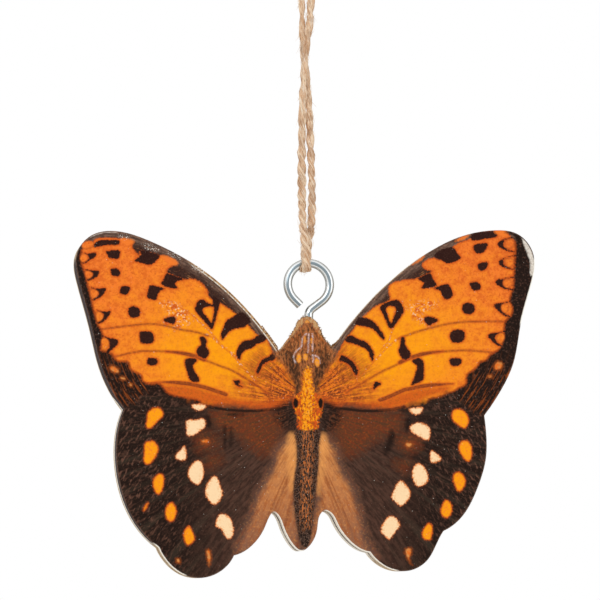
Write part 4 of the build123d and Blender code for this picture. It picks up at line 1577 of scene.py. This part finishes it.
class MakeTwine(bpy.types.Operator):
    """Lay the two-ply twine along its route, with its bight, its legs and its knot"""
    bl_idname = "butterfly.twine"
    bl_label = "Twine"

    def execute(self, context):
        sizes = context.scene.butterfly_sizes
        jute = make_jute_material(context.scene.butterfly_colours)
        route = (
            right_knot_route[::-1] + right_leg_route[::-1] + bight_route + left_leg_route + left_knot_route
        )
        line = nurbs_line([Vector(point) for point in route])
        frames = carried_frames(line)
        lengths = [0.0]
        for before, after in zip(line, line[1:]):
            lengths.append(lengths[-1] + (after - before).length)
        tight, turns = [], [0.0]
        for index, point in enumerate(line):
            share = between(point.z, *tightening) * between(point.z, *loosening[::-1])
            tight.append(1.0 if point.z > knot_foot else share)
            step = lengths[index] - lengths[max(index - 1, 0)]
            turns.append(turns[-1] + 2 * pi * step / sizes.twine_pitch * (0.5 + 0.5 * tight[-1]))
        lowest = min(range(len(line)), key=lambda index: line[index].z)
        right_cut = next(index for index in range(len(line)) if line[index].z < half_way)
        left_cut = next(index for index in range(lowest, len(line)) if line[index].z > half_way)
        parts = [
            ("twine_upper_right", 0, right_cut + 1, "right"),
            ("twine_lower", right_cut, left_cut + 1, "both"),
            ("twine_upper_left", left_cut, len(line), "left"),
        ]
        chance = random.Random(5)
        for name, first, last, kind in parts:
            run = [values[first:last] for values in (line, frames, lengths, tight, turns[1:])]
            self.make_part(name, run, lengths[lowest], sizes, jute, chance, kind)
        return {"FINISHED"}

    def make_ply(self, name, run, start_turn, bight_length, sizes, kind):
        """One ply, wound round the route, with fibres that stand out along it."""
        line, frames, lengths = run[:3]
        radius = sizes.twine_diameter / 2
        points, radii, turns = [], [], []
        for point, (_, across, up), length, twisted, turn in zip(*run):
            width = 1 + 0.05 * sin(length * 420 + 1.0) + 0.03 * sin(length * 1300)
            if kind == "left" and point.z < thin_top:
                width *= 1 - thin_share * nearness(point.z, thin_height, thin_reach)
            if point.x < -0.0006:
                width *= 1 + wide_share * nearness(point.z, wide_height, wide_reach)
            spot = start_turn - turn
            offset = radius * width * (0.30 + 0.11 * twisted)
            points.append(point + (across * cos(spot) + up * sin(spot)) * offset)
            uneven = 1 + 0.05 * sin(length * 2100 + start_turn * 2)
            radii.append(radius * width * (0.68 - 0.06 * twisted) * uneven)
            turns.append(spot)
        mesh = tube_along(name, [(points, radii)], 9)
        places = corner_places(mesh)
        ply_centre = np.array(points)
        nearest = np.linalg.norm(places[:, None, :] - ply_centre[None], axis=2).argmin(1)
        centre, ply_centre = np.array(line)[nearest], ply_centre[nearest]
        across, up = [np.array([frame[axis] for frame in frames])[nearest] for axis in (1, 2)]
        along = np.array(lengths)[nearest]
        offset = places - ply_centre
        angle = np.arctan2((offset * up).sum(1), (offset * across).sum(1))
        angle -= 0.45 * np.array(turns)[nearest]
        swell = np.ones(len(places))
        for lobes, share, pace in fibre_waves:
            swell += share * np.cos(lobes * angle + 1.6 * np.sin(along * pace + lobes + start_turn))
        places = ply_centre + offset * swell[:, None]
        near_bight = np.clip(1.6 - np.abs(along - bight_length) / 0.005, 0, 1)
        places = centre + (places - centre) * (1 + near_bight[:, None] * bight_flatness)
        mesh.vertices.foreach_set("co", places.ravel())
        from_centre = np.linalg.norm(places - centre, axis=1)
        # How far in towards the cord's middle each corner lies: the material paints shade there, between the
        # plies
        store(mesh, "groove", 1 - np.clip(from_centre / radius, 0, 1))
        store(mesh, "fibre", np.stack([np.cos(angle), np.sin(angle), along * 230 + start_turn], 1))
        return mesh

    def make_hairs(self, name, run, sizes, chance):
        """Loose fibres that stand off the twine and lie along it."""
        line, frames, lengths = run[:3]
        runs = []
        for _ in range(int((lengths[-1] - lengths[0]) / hair_spacing)):
            index = chance.randrange(2, len(line) - 2)
            tangent, across, up = frames[index]
            turn = chance.uniform(0, 2 * pi)
            outward = across * cos(turn) + up * sin(turn)
            start = line[index] + outward * sizes.twine_diameter * 0.46
            length = sizes.hair_length * chance.uniform(0.25, 1.0)
            sideways = tangent.cross(outward) * chance.uniform(-0.7, 0.7)
            direction = tangent * chance.choice((-1, 1)) + sideways + outward * chance.uniform(0.02, 0.32)
            direction.normalize()
            points = [
                start - direction * length * 0.2, start,
                start + direction * length * 0.5 + outward * length * 0.05,
                start + direction * length + outward * length * chance.uniform(-0.12, 0.22),
            ]
            thick = sizes.hair_radius * chance.uniform(0.6, 1.1)
            runs.append((points, [thick, thick, thick * 0.8, thick * 0.3]))
        mesh = tube_along(name, runs, 0)
        count = len(mesh.vertices)
        store(mesh, "groove", np.zeros(count))
        store(mesh, "fibre", np.tile([0.4, 0.2, 0.3], (count, 1)))
        return mesh

    def make_part(self, name, run, bight_length, sizes, jute, chance, kind):
        """One length of the twine: its two plies and its loose fibres."""
        line, _, lengths = run[:3]
        bm = bmesh.new()
        for start_turn in (0.0, pi):
            ply = self.make_ply(name, run, start_turn, bight_length, sizes, kind)
            bm.from_mesh(ply)
            bpy.data.meshes.remove(ply)
        piece = finish_piece(bm, name, jute, smooth=True)
        mesh = self.make_hairs(name + "_hairs", run, sizes, chance)
        hairs = finish_piece(mesh, name + "_hairs", jute, smooth=True)
        for item in (piece, hairs):
            if kind == "both":
                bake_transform(item)
            else:
                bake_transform(item)
        if kind == "both":
            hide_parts("twine_bight", "twine_leg_left", "twine_leg_right")
        else:
            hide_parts("twine_knot", "twine_neck")
        path = line if kind != "right" else line[::-1]
        lengths[-1] - lengths[0]
        "object" if kind == "both" else "knot"


class MakeStage(bpy.types.Operator):
    """Set the floor, the lamps, the white surroundings and the photograph's camera"""
    bl_idname = "butterfly.stage"
    bl_label = "Stage"

    def execute(self, context):
        scene = context.scene
        colours = scene.butterfly_colours
        bm = bmesh.new()
        bmesh.ops.create_grid(
            bm, x_segments=2, y_segments=2, size=1.5, matrix=Matrix.Translation((0, 0, floor_height))
        )
        material, tree, shader = new_material("Pale_floor", {"Roughness": 0.9})
        shade = noise(object_point(tree), 30.0) * 0.05
        set_inputs(shader, {"Base Color": over(shade, colours.floor, (1, 1, 1))})
        floor = finish_piece(bm, "stage_floor", material)

        world = bpy.data.worlds.new("White_surroundings")
        scene.world = world
        world.use_nodes = True
        tree = world.node_tree
        tree.nodes.clear()
        ray = add_node(tree, "ShaderNodeLightPath").outputs
        seen = Value(ray["Is Camera Ray"])
        for name in ("Is Glossy Ray", "Is Transmission Ray"):
            seen = seen.maths("MAXIMUM", Value(ray[name]))
        plain, white = [
            output(tree, "ShaderNodeBackground", {"Color": (1, 1, 1), "Strength": strength})
            for strength in (surroundings_strength, 1.0)
        ]
        mix = output(tree, "ShaderNodeMixShader", {0: seen, 1: plain, 2: white})
        add_node(tree, "ShaderNodeOutputWorld", {"Surface": mix})

        middle = Vector((0, 0, stage_middle))
        lamps = [
            ("key_lamp", (-0.45, -0.75, 0.35), 0.5, 1.9),
            ("fill_lamp", (0.6, -0.6, 0.0), 0.6, 0.7),
            ("back_lamp", (0.1, 0.8, 0.4), 0.6, 1.6),
        ]
        for name, place, size, power in lamps:
            light = bpy.data.lights.new(name, "AREA")
            light.shape = "SQUARE"
            light.size = size
            light.energy = power
            lamp = bpy.data.objects.new(name, light)
            lamp.location = place
            lamp.rotation_euler = (middle - Vector(place)).to_track_quat("-Z", "Y").to_euler()
            scene.collection.objects.link(lamp)

        camera_data = bpy.data.cameras.new("photo_camera")
        camera_data.sensor_fit = "HORIZONTAL"
        camera_data.angle = 2 * atan(photo_centre_px[0] / photo_far_px)
        camera_data.clip_start = 0.01
        camera = bpy.data.objects.new("photo_camera", camera_data)
        camera.location = photo_target + towards_camera * photo_far_px * metre_per_px
        camera.rotation_euler = (-towards_camera).to_track_quat("-Z", "Y").to_euler()
        scene.collection.objects.link(camera)
        scene.camera = camera
        scene.view_settings.view_transform = "Standard"
        return {"FINISHED"}


class ButterflyPanel(bpy.types.Panel):
    """The ornament's operators, sizes and colours"""
    bl_idname = "VIEW3D_PT_butterfly"
    bl_label = "Butterfly ornament"
    bl_space_type = "VIEW_3D"
    bl_region_type = "UI"
    bl_category = "Butterfly"

    def draw(self, context):
        column = self.layout.column()
        for maker in operators:
            column.operator(maker.bl_idname)
        for settings in (context.scene.butterfly_sizes, context.scene.butterfly_colours):
            for name in settings.__annotations__:
                column.prop(settings, name)


operators = [MakeStage, MakeFrontPrint, DressBoard, MakeScrewEye, MakeTwine]
classes = [ButterflySizes, ButterflyColours, *operators, ButterflyPanel]


def register():
    for item in classes:
        bpy.utils.register_class(item)
    bpy.types.Scene.butterfly_sizes = PointerProperty(type=ButterflySizes)
    bpy.types.Scene.butterfly_colours = PointerProperty(type=ButterflyColours)


def unregister():
    del bpy.types.Scene.butterfly_sizes
    del bpy.types.Scene.butterfly_colours
    for item in reversed(classes):
        bpy.utils.unregister_class(item)


def main():
    register()
    make_ink_edge_group()
    make_grain_group()
    bpy.ops.butterfly.stage()
    bpy.ops.butterfly.front_print()
    bpy.ops.butterfly.board()
    bpy.ops.butterfly.screw_eye()
    bpy.ops.butterfly.twine()


if __name__ == "__main__":
    main()
